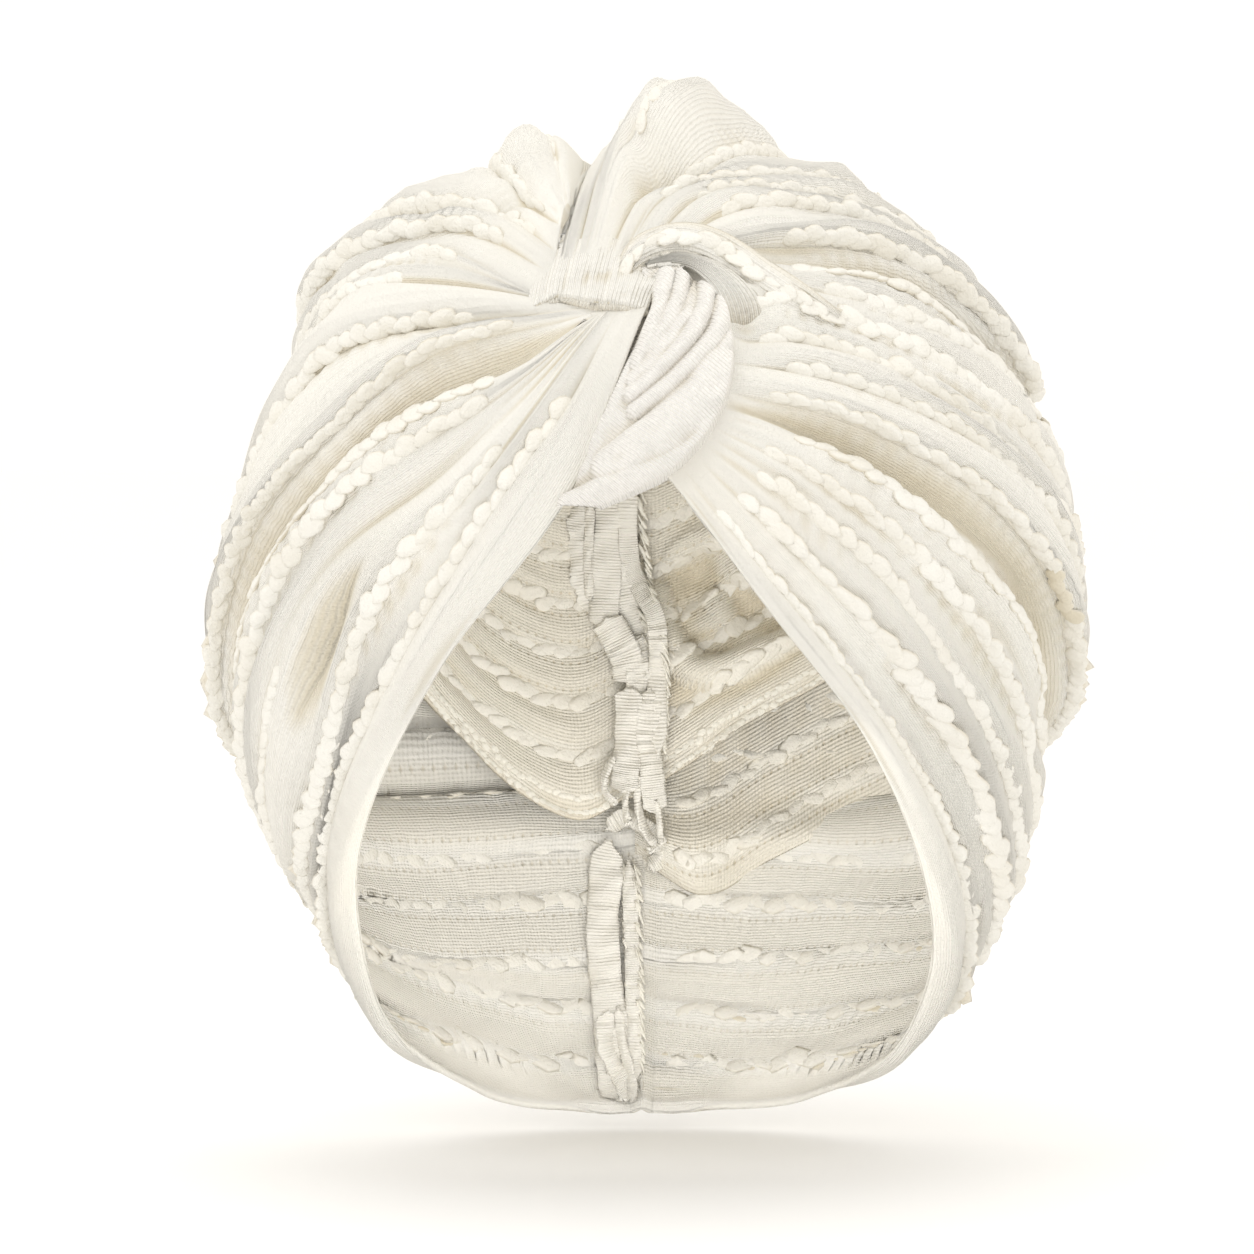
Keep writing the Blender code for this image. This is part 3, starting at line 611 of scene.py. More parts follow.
# DRAPE is the inside jersey made warmer: painted warm shade for the drapes and nape fold, which lie in shade
# inside the hat.
DRAPE = (0.872, 0.848, 0.782)
DRAPE_SHADE = (0.72, 0.65, 0.51)
outer_cloth = jersey("ivory ribbed jersey", IVORY, IVORY_SHADE)
inner_cloth = jersey("ivory jersey inside", INSIDE, INSIDE_SHADE, 0.65, 0.30, pinholes=True, fleck=True)
drape_cloth = jersey("ivory drape jersey", DRAPE, DRAPE_SHADE, 0.65, 0.30, pinholes=True)
drape_puff_cloth = puffed("ivory drape puffs", (0.872, 0.850, 0.790), (0.75, 0.69, 0.56))
seam_cloth = jersey("ivory raw edges", (0.895, 0.876, 0.825), INSIDE_SHADE, 0.6, 0.10)
knot_cloth = jersey("ivory knot jersey", (0.908, 0.886, 0.850), (0.78, 0.73, 0.63), 1.2, 0.10)
# The flap's second colour is a darker painted shade, for its tucked lower end.
flap_cloth = jersey("ivory flap jersey", IVORY, (0.60, 0.54, 0.42), 1.8, 0.10)
# The puffs are a little darker than the cloth they are made of: painted shade, to temper the light they
# catch.
puff_cloth = puffed("ivory puffs", (0.850, 0.834, 0.782), (0.70, 0.64, 0.51))
inner_puff_cloth = puffed("ivory puffs inside", (0.868, 0.852, 0.802), (0.76, 0.71, 0.60))
thread = puffed("ivory thread", (0.89, 0.87, 0.80), (0.76, 0.71, 0.61))


def add_object(name, data):
    obj = bpy.data.objects.new(name, data)
    bpy.context.scene.collection.objects.link(obj)
    return obj


def mesh_object(name, verts, faces, uvs=None, low=None, stripe=None, mats=(), face_mats=None, room=None):
    mesh = bpy.data.meshes.new(name)
    mesh.vertices.add(len(verts))
    mesh.vertices.foreach_set("co", np.asarray(verts, np.float32).ravel())
    sides = faces.shape[1]
    mesh.loops.add(faces.size)
    mesh.loops.foreach_set("vertex_index", faces.astype(np.int32).ravel())
    mesh.polygons.add(len(faces))
    mesh.polygons.foreach_set("loop_start", np.arange(0, faces.size, sides, dtype=np.int32))
    mesh.update(calc_edges=True)
    mesh.polygons.foreach_set("use_smooth", np.ones(len(faces), bool))
    if uvs is not None:
        layer = mesh.uv_layers.new(name="cloth")
        layer.data.foreach_set("uv", np.asarray(uvs, np.float32)[faces.ravel()].ravel())
    if room is None and uvs is not None:
        room = np.ones(len(verts))
    for key, values in (("low", low), ("stripe", stripe), ("room", room)):
        if values is not None:
            field = mesh.attributes.new(key, "FLOAT", "POINT")
            field.data.foreach_set("value", np.asarray(values, np.float32).ravel())
    for mat in mats:
        mesh.materials.append(mat)
    if face_mats is not None:
        mesh.polygons.foreach_set("material_index", face_mats.astype(np.int32))
    mesh.update()
    return add_object(name, mesh)


def quads(rows, cols, start=0, flip=False):
    r, c = np.meshgrid(np.arange(rows - 1), np.arange(cols - 1), indexing="ij")
    a = start + r * cols + c
    q = np.stack([a, a + 1, a + cols + 1, a + cols], axis=-1).reshape(-1, 4)
    return q[:, ::-1] if flip else q


def rim(rows, cols):
    """Numbers of the points round the edge of a grid, in order."""
    count = rows * cols
    return np.concatenate([np.arange(cols - 1), np.arange(cols - 1, count - 1, cols),
                           np.arange(count - 1, count - cols, -1), np.arange(count - cols, 0, -cols)])


def triangles(square):
    return np.concatenate([square[:, [0, 1, 2]], square[:, [0, 2, 3]]])


def shell(name, outer, inner, uv, low, mats, inner_painted_shade=None, coarse=1, stripe=None, room=None):
    """Closed wall of cloth between two grids of points in millimetres.

    Its inner face keeps one point in every coarse."""
    rows, cols = outer.shape[:2]
    back_grid = inner[::coarse, ::coarse]
    back_rows, back_cols = back_grid.shape[:2]
    inner_painted_shade = low if inner_painted_shade is None else inner_painted_shade
    turned = np.cross(np.gradient(outer, axis=0), np.gradient(outer, axis=1))
    facing = (turned * (outer - inner)).sum(axis=-1).mean() > 0
    front = triangles(quads(rows, cols, 0, facing))
    back = triangles(quads(back_rows, back_cols, rows * cols, not facing))
    outer_rim = rim(rows, cols)
    inner_rim = rim(back_rows, back_cols) + rows * cols
    edge = []
    for i, (b0, b1) in enumerate(zip(inner_rim, np.roll(inner_rim, -1))):
        chain = outer_rim[i * coarse:(i + 1) * coarse + 1]
        if len(chain) <= coarse:
            chain = np.append(chain, outer_rim[0])
        half = (coarse + 1) // 2
        for k in range(coarse):
            edge.append((chain[k], chain[k + 1], b0 if k < half else b1))
            if k == half - 1:
                edge.append((chain[k + 1], b1, b0))
    edge = np.array(edge)
    if not facing:
        edge = edge[:, ::-1]
    faces = np.concatenate([front, back, edge])
    kinds = np.concatenate([np.zeros(len(front)), np.ones(len(back)), np.zeros(len(edge))])
    verts = np.concatenate([outer.reshape(-1, 3), back_grid.reshape(-1, 3)]) * 0.001
    uvs = np.concatenate([uv.reshape(-1, 2), uv[::coarse, ::coarse].reshape(-1, 2)])
    painted_shades = np.concatenate([low.ravel(), inner_painted_shade[::coarse, ::coarse].ravel()])
    stripe = np.full(outer.shape[:2], 0.5) if stripe is None else np.broadcast_to(stripe, outer.shape[:2])
    stripes = np.concatenate([stripe.ravel(), stripe[::coarse, ::coarse].ravel()])
    if room is not None:
        room = np.concatenate([room.ravel(), room[::coarse, ::coarse].ravel()])
    return mesh_object(name, verts, faces, uvs, painted_shades, stripes, mats, kinds, room)


def ball(segments, rings):
    """Azimuth, height and faces of a closed ball of small triangles, the start of every puff."""
    turns, polars = [0.0], [0.0]
    for r in range(1, rings):
        for s in range(segments):
            turns.append(2 * math.pi * s / segments)
            polars.append(math.pi * r / rings)
    turns.append(0.0)
    polars.append(math.pi)
    faces = []
    last = 1 + (rings - 2) * segments
    for s in range(segments):
        n = (s + 1) % segments
        faces.append((0, 1 + s, 1 + n))
        for r in range(rings - 2):
            a, b = 1 + r * segments, 1 + (r + 1) * segments
            faces.append((a + s, b + s, b + n))
            faces.append((a + s, b + n, a + n))
        faces.append((last + s, len(turns) - 1, last + n))
    return np.array(turns), np.array(polars), np.array(faces)


FINE_BALL = ball(10, 6)
SMALL_BALL = ball(7, 4)


class Puffs:
    """Pillow puffs of cloth, gathered and made into one mesh."""

    def __init__(self, shape=FINE_BALL, seed=1):
        self.turn, self.polar, self.faces = shape
        self.draw = np.random.default_rng(seed)
        self.lumps = []
        self.painted_shades = []

    def add(self, spot, normal, tangent, length, half, tall, slant, point):
        """One puff: a slanted pillow, pointed at one end and creased on top."""
        draw = self.draw
        corner = draw.uniform(0.85, 1.35)
        wide = np.sin(self.polar) ** draw.uniform(0.75, 1.05)
        x, y = np.cos(self.turn), np.sin(self.turn)
        x = np.sign(x) * np.abs(x) ** corner * wide
        y = np.sign(y) * np.abs(y) ** corner * wide
        z = np.cos(self.polar)
        end = 1 + 0.30 * x
        y = y * (1 - point * x)
        x = x + math.tan(math.radians(slant)) * y * half / length + 0.22 * np.maximum(z, 0)
        crumple = 0.20 * np.sin(2.6 * x + draw.uniform(0, 6.3)) * np.cos(3.1 * y + draw.uniform(0, 6.3))
        crumple = crumple + draw.normal(0, 0.05, len(z))
        height = np.where(z > 0, (np.maximum(z, 0) ** 0.8 * end + crumple * (z > 0.1)) * tall, z * 0.8)
        over = np.cross(normal, tangent)
        flat = (x * length)[:, None] * tangent + (y * half)[:, None] * over
        self.lumps.append(spot + flat + height[:, None] * normal)
        # Painted shade on the lower part of each puff, darkest at its base in the creases between puffs.
        self.painted_shades.append(np.clip(0.55 - z * 1.2, 0, 1))

    def along(self, points, normals, room, size, slant,
              pitch=PUFF_PITCH, height=PUFF_HEIGHT, zigzag=False, point=0.3):
        """Puffs set side by side along a line on the cloth, smaller where the stripe has less room."""
        reach = np.concatenate([[0], np.cumsum(np.linalg.norm(np.diff(points, axis=0), axis=1))])
        draw = self.draw

        def at(values, where):
            return np.array([np.interp(where, reach, values[:, k]) for k in range(3)])

        here = 0.5 * pitch
        rank = 0
        while here < reach[-1]:
            scale = size * min(1.0, np.interp(here, reach, room) / 8.5)
            if scale < 0.34:
                here += 0.6 * pitch
                continue
            normal = unit(at(normals, here))
            tangent = unit(at(points, here + 1.2) - at(points, here - 1.2))
            over = np.cross(normal, tangent)
            spread = 0.55 + 0.45 * scale
            length = 0.5 * pitch * spread * draw.uniform(1.4, 1.85)
            half = PUFF_HALF_WIDTH * scale * draw.uniform(0.85, 1.25)
            tall = height * scale * draw.uniform(0.65, 1.25)
            lean = slant + draw.normal(0, 10)
            if zigzag:
                lean = abs(slant) * (1 if rank % 2 else -1)
            aside = 0.35 * (1 if rank % 2 else -1) * scale + draw.normal(0, 0.25)
            spot = at(points, here) - normal * PUFF_SINK * scale + over * aside
            self.add(spot, normal, tangent, length, half, tall, lean, point * draw.uniform(0.4, 1.5))
            here += pitch * spread * draw.uniform(0.9, 1.1)
            rank += 1

    def mesh(self, name, mats):
        count = len(self.turn)
        starts = (np.arange(len(self.lumps)) * count)[:, None, None]
        faces = (self.faces[None] + starts).reshape(-1, 3)
        verts = np.concatenate(self.lumps) * 0.001
        return mesh_object(name, verts, faces, low=np.concatenate(self.painted_shades), mats=mats)


def stripe_samples(count):
    """Fold numbers of a panel's rows of points, closer together by its bubble rows."""
    inside = np.array([0, 0.06, 0.13, 0.22, 0.35, 0.5, 0.65, 0.78, 0.87, 0.94])
    return np.concatenate([(np.arange(count)[:, None] + inside[None]).ravel(), [count]])


def make_panel(panel, along_count):
    bands = len(panel.folds)
    t = stripe_samples(bands).astype(float)
    t = t if len(t) % 2 else np.delete(t, -2)
    tucked = np.linspace(-0.03, 0, KNOT_TUCK_STEPS)[:-1]
    u = np.concatenate([tucked, np.linspace(0, 1, along_count)])
    u = u if len(u) % 2 else np.delete(u, 1)
    outer, normal, low, width = surface(panel, t, u)
    inner = outer - normal * CLOTH
    length = np.linalg.norm(np.diff(outer, axis=1), axis=2).sum(axis=1).mean()
    flat = np.concatenate([[0], np.cumsum(np.quantile(width[:, 10:-10], 0.85, axis=1))]) * 0.001
    v = np.interp(t, np.arange(bands + 1), flat)
    uv = np.stack(np.broadcast_arrays((u * length * 0.001)[None, :], v[:, None]), axis=-1)
    flat_width = np.diff(flat) * 1000
    band = np.clip(t.astype(int), 0, bands - 1)
    room = np.clip(width[band] / np.maximum(flat_width[band], 1.0)[:, None], 0, 1) ** 1.2
    # the weave fades inside the nape rim, where it is seen edge on
    by_nape = step(u, 0.64, 0.74) * (1 - step(u, 0.84, 0.92))
    room = room * (1 - 0.8 * by_nape[None, :] * (1 - step(t, 1.0, 1.7))[:, None])
    # The inner face gets 0.3 of the outer face's painted shade.
    obj = shell(panel.name, outer, inner, uv, low, (outer_cloth, inner_cloth), low * 0.3, 2, t[:, None], room)
    puffs = Puffs(FINE_BALL, 20 + panel.side)
    inside = Puffs(SMALL_BALL, 30 + panel.side)
    fine = np.linspace(0, 1, 700)
    for k, row in enumerate(panel.rows):
        if not row.size:
            continue
        near = k + row.shift
        line, line_normal, _, wide = surface(panel, np.array([near - 0.04, near, near + 0.04]), fine)
        room = np.minimum(wide[max(k - 1, 0)], wide[min(k, len(wide) - 1)])
        show = (fine >= row.first) & (fine <= min(row.last, 0.985))
        puffs.along(line[1][show], line_normal[1][show], room[show], row.size, row.slant * panel.side)
        back = (fine >= 0.46) & (fine <= 0.965)
        grown = 0.3 + 0.7 * step(fine[back], 0.46, 0.56)
        if k <= 8:
            face = line[1][back] - line_normal[1][back] * (CLOTH - 0.1)
            space = room[back] * grown * 1.3
            inside.along(face, -line_normal[1][back], space, 1.2, 32, height=0.62, zigzag=True)
    outside = puffs.mesh(panel.name + "_puffs", (puff_cloth,))
    inside = inside.mesh(panel.name + "_inner_puffs", (inner_puff_cloth,))
    return obj, outside, inside, (outer, inner)


def shell_area(obj):
    """Area of one face of a thin closed mesh, in square metres."""
    mesh = obj.data
    areas = np.zeros(len(mesh.polygons))
    mesh.polygons.foreach_get("area", areas)
    return float(areas.sum() / 2)


left, left_puffs, left_inner, left_grids = make_panel(PANEL_LEFT, 520)
right, right_puffs, right_inner, right_grids = make_panel(PANEL_RIGHT, 380)


Ridge = namedtuple("Ridge", "height width begin end line")


def ridge_relief(x, z, ridges):
    """Height of cloth gathered into round rolls along the given lines: the highest roll at each point."""
    total = np.zeros_like(x)
    for ridge in ridges:
        line = np.array(ridge.line)
        reach = np.linspace(0, len(line) - 1, 40)
        px, pz = (smooth(np.arange(len(line)), line[:, k], reach) for k in (0, 1))
        swell = np.interp(reach / (len(line) - 1), [0, 0.5, 1], [ridge.begin, 1.0, ridge.end])
        best = np.zeros_like(x)
        for k in range(len(reach)):
            far = np.hypot(x - px[k], z - pz[k]) / (ridge.width * (0.6 + 0.4 * swell[k]))
            best = np.maximum(best, ridge.height * swell[k] * np.sqrt(np.clip(1 - far * far, 0, 1)))
        total = np.maximum(total, best)
    return total


def drape_surface(rows, side, f, angle):
    """Inner drape at shares f down it and angles round from the centre back."""
    around = column(rows, "around")
    hem = smooth(around, column(rows, "hem"), np.maximum(angle, around[0]))
    ff, aa = f[:, None], angle[None, :]
    down = np.radians(DRAPE_TOP + (hem[None, :] - DRAPE_TOP) * ff)
    turn = np.radians(aa)
    out = np.sin(down)
    way = np.stack(np.broadcast_arrays(side * out * np.sin(turn), out * np.cos(turn), np.cos(down)), axis=-1)
    spot = form_point(way)
    inward = -unit(spot - np.array([0, 5, FORM_CENTRE_Z]))
    from_hem = (hem[None, :] - np.degrees(down)) * 1.75
    inset = DRAPE_TOP_INSET + (DRAPE_INSET - DRAPE_TOP_INSET) * np.minimum(1, ff * 2)
    inset = inset + DRAPE_RIPPLE * ff * np.sin(np.radians(aa * 9))
    stripe = np.abs(np.sin(math.pi * (from_hem - DRAPE_FIRST_ROW) / DRAPE_ROW_SPACING))
    inset = inset + 1.3 * stripe * np.minimum(1, ff * 2)
    inset = inset + 0.8 * wave_sum(CREASES, from_hem / 8, aa / 60)
    # Painted shade along the creases at the puffed rows, where stripe is near zero.
    low = np.clip(1.0 - stripe * 1.6, 0, 1) * 0.6
    return spot + inward * inset[..., None], inward, low, from_hem


# Rolls of the right drape, which folds into a pouch beside the seam: height, width, how full each is
# at its two ends, and its line in (x, z). Hollows: x, z, reach each way, depth.
POUCH_ROLLS = [
    Ridge(7.0, 4.4, 0.8, 0.5,
          [(3.5, -99), (5.5, -107), (9, -113.5), (14, -117.2), (22, -116.5), (31, -112), (40, -106)]),
    Ridge(3.4, 3.6, 0.5, 0.5, [(8, -89), (14, -85), (24, -84), (33, -88)]),
    Ridge(2.8, 3.0, 0.5, 0.5, [(14.5, -98), (19, -101), (21.5, -106)]),
    Ridge(2.4, 2.6, 0.5, 0.5, [(23, -92), (28, -97), (33, -99)]),
]
POUCH_HOLLOWS = [(13.5, -95, 5, 6, 7.0), (25.5, -101, 6, 5, 6.5), (34, -104, 5, 5, 4.0)]


def make_drape(name, rows, side):
    f = np.linspace(0, 1, 121)
    angle = np.linspace(-0.4, rows[-1].around, 151)
    grid, inward, low, from_hem = drape_surface(rows, side, f, angle)
    if side > 0:
        x, z = grid[..., 0], grid[..., 2]
        push = ridge_relief(x, z, POUCH_ROLLS)
        for hx, hz, rx, rz, depth in POUCH_HOLLOWS:
            push = push - depth * np.exp(-((x - hx) / rx) ** 2 - ((z - hz) / rz) ** 2)
        grid = grid + inward * push[..., None]
    # Painted shade in the drape's hollows and along its row creases.
    low = np.clip(hollows(grid, inward, 5, 5, 1.3) + 0.3 * low, 0, 1)
    back = grid - inward * DRAPE_WALL
    length = np.linalg.norm(np.diff(grid, axis=1), axis=2).sum(axis=1).mean()
    stripe = (from_hem - DRAPE_FIRST_ROW) / DRAPE_ROW_SPACING
    along = np.linspace(0, 1, len(angle)) * length * 0.001
    uv = np.stack(np.broadcast_arrays(along[None, :], stripe * STRIPE * 0.001), axis=-1)
    obj = shell(name, grid, back, uv, low, (drape_cloth, outer_cloth), None, 2, stripe)
    normal = -outward(grid)

    def hem_line(target):
        """Points and normals of the drape at one distance from its hem."""
        line, normals = [], []
        for c in range(len(angle)):
            if from_hem[0, c] < target:
                continue
            share = np.interp(target, from_hem[::-1, c], f[::-1])
            line.append([np.interp(share, f, grid[:, c, k]) for k in range(3)])
            normals.append([np.interp(share, f, normal[:, c, k]) for k in range(3)])
        return np.array(line), np.array(normals)

    puffs = Puffs(FINE_BALL, 40 + side)
    for rank in range(5):
        line, normals = hem_line(DRAPE_FIRST_ROW + DRAPE_ROW_SPACING * rank)
        puffs.along(line, normals, np.full(len(line), 9.0), 1.0, 28, height=1.0)
    stitches = Puffs(SMALL_BALL, 50 + side)
    for inset in (0.9, 3.9):
        line, normals = hem_line(inset)
        stitches.along(line, normals, np.full(len(line), 9.0), 0.36, 0, pitch=2.6, height=0.7, point=0)
    rows_mesh = puffs.mesh(name + "_puffs", (drape_puff_cloth,))
    return obj, rows_mesh, stitches.mesh(name + "_hem_stitches", (thread,)), grid


drape_left, drape_left_puffs, hem_left, drape_left_grid = make_drape("turban_drape_left", DRAPE_LEFT, -1)
drape_right, drape_right_puffs, hem_right, drape_right_grid = make_drape("turban_drape_right", DRAPE_RIGHT, 1)


def wall_finder(*grids):
    """Reads how far back the given inner faces lie at a point (x, z)."""
    points = np.concatenate([grid.reshape(-1, 3) for grid in grids])
    points = points[points[:, 1] > 10]
    tree = KDTree(len(points))
    for i, (x, y, z) in enumerate(points):
        tree.insert((x, 0, z), i)
    tree.balance()

    def depth(x, z):
        near = tree.find_n((x, 0, z), 6)
        return float(np.mean([points[i, 1] for _, i, _ in near]))

    return depth


# Strips of raw-edged cloth that the seams leave inside, in millimetres: centre line in (x, z), half
# width, how far they stand off the wall, how much and how often their edges wave, how ragged the edges
# are, and how far they tilt
Strip = namedtuple("Strip", "line half stand wave beats ragged tilt")
UPPER_STRIPS = [
    Strip([(-14.9, -76), (-15.4, -84), (-15.0, -93), (-12.4, -103)], 2.6, 1.2, 0.9, 2.0, 0.5, 0.5),
    Strip([(-12.4, -76), (-12.7, -84), (-12.9, -92), (-12.6, -100)], 1.2, 3.4, 0.3, 1.5, 0.15, 0.3),
    Strip([(-7.7, -68), (-7.9, -78), (-8.3, -88), (-8.8, -98), (-9.2, -107)], 3.7, 4.6, 0.7, 1.5, 0.06, 0.9),
    Strip([(-3.0, -68), (-3.3, -82), (-2.6, -91), (-0.2, -97),
           (3.2, -103), (4.2, -112), (3.8, -124), (4.2, -138)],
          2.4, 6.2, 0.4, 2.5, 0.05, 0.1),
    Strip([(-5.6, -86), (-5.2, -94), (-3.8, -101), (-1.6, -107), (-0.8, -113)],
          3.2, 4.8, 0.6, 1.5, 0.08, 0.5),
    Strip([(-8.6, -104), (-6.0, -109), (-3.6, -114), (-2.6, -120)], 4.0, 6.2, 0.8, 1.5, 0.08, 0.8),
    Strip([(-2.6, -109), (-1.0, -113), (-0.4, -118), (-0.6, -123)], 3.2, 6.6, 0.6, 1.5, 0.06, -0.6),
    Strip([(-3.0, -121), (-3.3, -131), (-3.7, -140), (-4.6, -146)], 3.3, 6.8, 0.7, 1.5, 0.10, 1.0),
    Strip([(2.2, -121), (1.9, -133), (2.7, -143), (3.6, -151)], 3.0, 7.2, 0.7, 1.5, 0.10, -0.8),
    Strip([(-6.6, -137), (-8.8, -142), (-8.6, -146), (-6.2, -149)], 0.9, 7.2, 0.6, 1.0, 0.3, 1.0),
    Strip([(-3.2, -143), (-3.9, -149), (-3.4, -154)], 0.8, 7.4, 0.6, 1.0, 0.3, 1.0),
    Strip([(-0.6, -142), (-0.8, -149), (1.0, -155), (3.8, -159)], 1.0, 7.4, 0.8, 1.0, 0.3, -1.0),
    Strip([(3.4, -148), (4.4, -153), (4.2, -158), (1.6, -160)], 0.9, 7.0, 0.8, 1.0, 0.3, 1.0),
]
LOWER_STRIPS = [
    Strip([(-7.9, -158), (-8.9, -168), (-9.4, -178), (-9.0, -188),
           (-7.8, -197), (-7.4, -206), (-6.6, -214), (-5.2, -218.5)],
          4.0, 4.2, 0.9, 4.0, 0.10, 1.2),
    Strip([(-3.0, -163), (-2.3, -181), (-1.9, -196), (-1.6, -215)], 1.9, 4.4, 0.3, 3.0, 0.05, 0.2),
    Strip([(-8.6, -155.5), (-3.6, -153), (1.6, -155.5), (4.8, -161.5), (1.6, -164.5)],
          2.2, 6.0, 1.0, 2.5, 0.15, 0.6),
    Strip([(-8.6, -198), (-8.0, -206), (-5.0, -213), (-2.6, -218)], 2.4, 5.6, 1.0, 1.5, 0.2, -0.9),
    Strip([(-5.6, -197), (-4.4, -206), (-2.4, -214), (-2.2, -218.5)], 1.2, 6.2, 0.6, 1.0, 0.1, 0.9),
]


def strip_shell(strip, depth, draw):
    """Outer and inner points of one strip, with its fold depth."""
    line = np.array(strip.line)
    steps = 110
    reach = np.linspace(0, len(line) - 1, steps)
    s = reach / reach[-1]
    x, z = (smooth(np.arange(len(line)), line[:, k], reach) for k in (0, 1))
    ahead = np.stack([np.gradient(x), np.gradient(z)], axis=-1)
    ahead = ahead / np.linalg.norm(ahead, axis=1, keepdims=True)
    w = np.linspace(-1, 1, 13)
    taper = np.clip(np.minimum(s, 1 - s) / 0.06, 0.25, 1)
    noise = [np.convolve(draw.normal(0, 1, steps), np.ones(7) / 3, "same") for _ in range(2)]
    phase = draw.uniform(0, 6.3, 3)
    spot = np.zeros((steps, len(w), 3))
    low = np.zeros((steps, len(w)))
    for i in range(steps):
        base = depth(x[i], z[i])
        for j, v in enumerate(w):
            rag = 1 + strip.ragged * 0.35 * noise[0 if v < 0 else 1][i] * abs(v) ** 4
            across_way = v * strip.half * taper[i] * rag
            turn = 2 * math.pi * strip.beats * s[i] + 0.5 * math.sin(4 * s[i] + phase[2])
            frill = strip.wave * abs(v) ** 1.4 * math.sin(turn + phase[0 if v < 0 else 1])
            pleat = 0.22 * math.sin(turn * 2.7 + 2.5 * v + phase[2])
            out = strip.stand + frill + pleat + strip.tilt * v + 0.8 * (1 - v * v)
            height = z[i] + ahead[i, 0] * across_way + 0.3 * frill
            spot[i, j] = (x[i] - ahead[i, 1] * across_way, base - out, height)
            # Painted shade where the strip's frill and pleats dip back towards the wall.
            low[i, j] = np.clip(0.08 - 0.25 * (frill + pleat), 0, 1)
    normal = unit(np.cross(np.gradient(spot, axis=0), np.gradient(spot, axis=1)))
    normal = normal * np.where(normal[..., 1:2] > 0, -1, 1)
    return spot, spot - normal * 0.8, low, s


def make_strips(name, strips, depth, seed):
    """All the raw-edged strips of one seam, each as its own mesh."""
    draw = np.random.default_rng(seed)
    parts = []
    for k, strip in enumerate(strips):
        outer, inner, low, s = strip_shell(strip, depth, draw)
        length = np.linalg.norm(np.diff(outer[:, 6], axis=0), axis=1).sum()
        wide = (np.linspace(-1, 1, 13) * strip.half * 0.001)[None, :]
        uv = np.stack(np.broadcast_arrays(wide, (s * length * 0.001)[:, None]), axis=-1)
        parts.append(shell(f"{name}_{k}", outer, inner, uv, low, (seam_cloth, seam_cloth)))
    return parts


drape_depth = wall_finder(drape_left_grid[::2, ::2], drape_right_grid[::2, ::2])
panel_depth = wall_finder(left_grids[1][::3, ::4], right_grids[1][::3, ::4])
upper_strips = make_strips("turban_seam_upper", UPPER_STRIPS, drape_depth, 3)
lower_strips = make_strips("turban_seam_lower", LOWER_STRIPS, panel_depth, 4)


def join(name, parts):
    """One mesh from several that share a material; the several are removed."""
    verts, faces, uvs, painted_shades = [], [], [], []
    base = 0
    for part in parts:
        count = len(part.data.vertices)
        co = np.zeros(count * 3, np.float32)
        part.data.vertices.foreach_get("co", co)
        index = np.zeros(len(part.data.loops), np.int32)
        part.data.loops.foreach_get("vertex_index", index)
        uv = np.zeros(len(index) * 2, np.float32)
        part.data.uv_layers["cloth"].data.foreach_get("uv", uv)
        low = np.zeros(count, np.float32)
        part.data.attributes["low"].data.foreach_get("value", low)
        per_vertex = np.zeros((count, 2), np.float32)
        per_vertex[index] = uv.reshape(-1, 2)
        verts.append(co.reshape(-1, 3))
        faces.append(index.reshape(-1, 3) + base)
        uvs.append(per_vertex)
        painted_shades.append(low)
        base += count
    mats = list(parts[0].data.materials)[:1]
    for part in parts:
        bpy.data.objects.remove(part)
    verts, faces, uvs, painted_shades = (np.concatenate(lists) for lists in (verts, faces, uvs, painted_shades))
    return mesh_object(name, verts, faces, uvs, painted_shades, painted_shades * 0 + 0.5, mats)


ruffle_upper = join("turban_seam_ruffle_upper", upper_strips)
ruffle_lower = join("turban_seam_ruffle_lower", lower_strips)


def overlock(name, lines, depth, stand):
    """Slanting stitches along lines given as (x, z) points."""
    threads = Puffs(SMALL_BALL, 60)
    for line in lines:
        line = np.array(line)
        reach = np.linspace(0, len(line) - 1, 60)
        x, z = (smooth(np.arange(len(line)), line[:, k], reach) for k in (0, 1))
        points = np.array([(a, depth(a, b) - stand, b) for a, b in zip(x, z)])
        normals = np.tile([0.0, -1.0, 0.0], (len(points), 1))
        threads.along(points, normals, np.full(len(points), 9.0), 0.40, 62, pitch=1.7, height=1.0, point=0)
    return threads.mesh(name, (thread,))


UPPER_STITCHES = [
    [(-3.9, -72), (-3.0, -84), (-1.6, -95), (0.8, -104), (2.6, -116), (2.5, -128), (1.8, -136)],
    [(-0.3, -72), (0.7, -84), (2.0, -94), (4.6, -104), (6.1, -116), (6.0, -128), (5.4, -136)],
]
LOWER_STITCHES = [
    [(-3.9, -164), (-3.4, -181), (-2.8, -196), (-2.8, -211)],
    [(-0.8, -164), (-0.5, -181), (0.1, -196), (0.1, -211)],
]
stitch_upper = overlock("turban_seam_stitches_upper", UPPER_STITCHES, drape_depth, 5.3)
stitch_lower = overlock("turban_seam_stitches_lower", LOWER_STITCHES, panel_depth, 4.2)


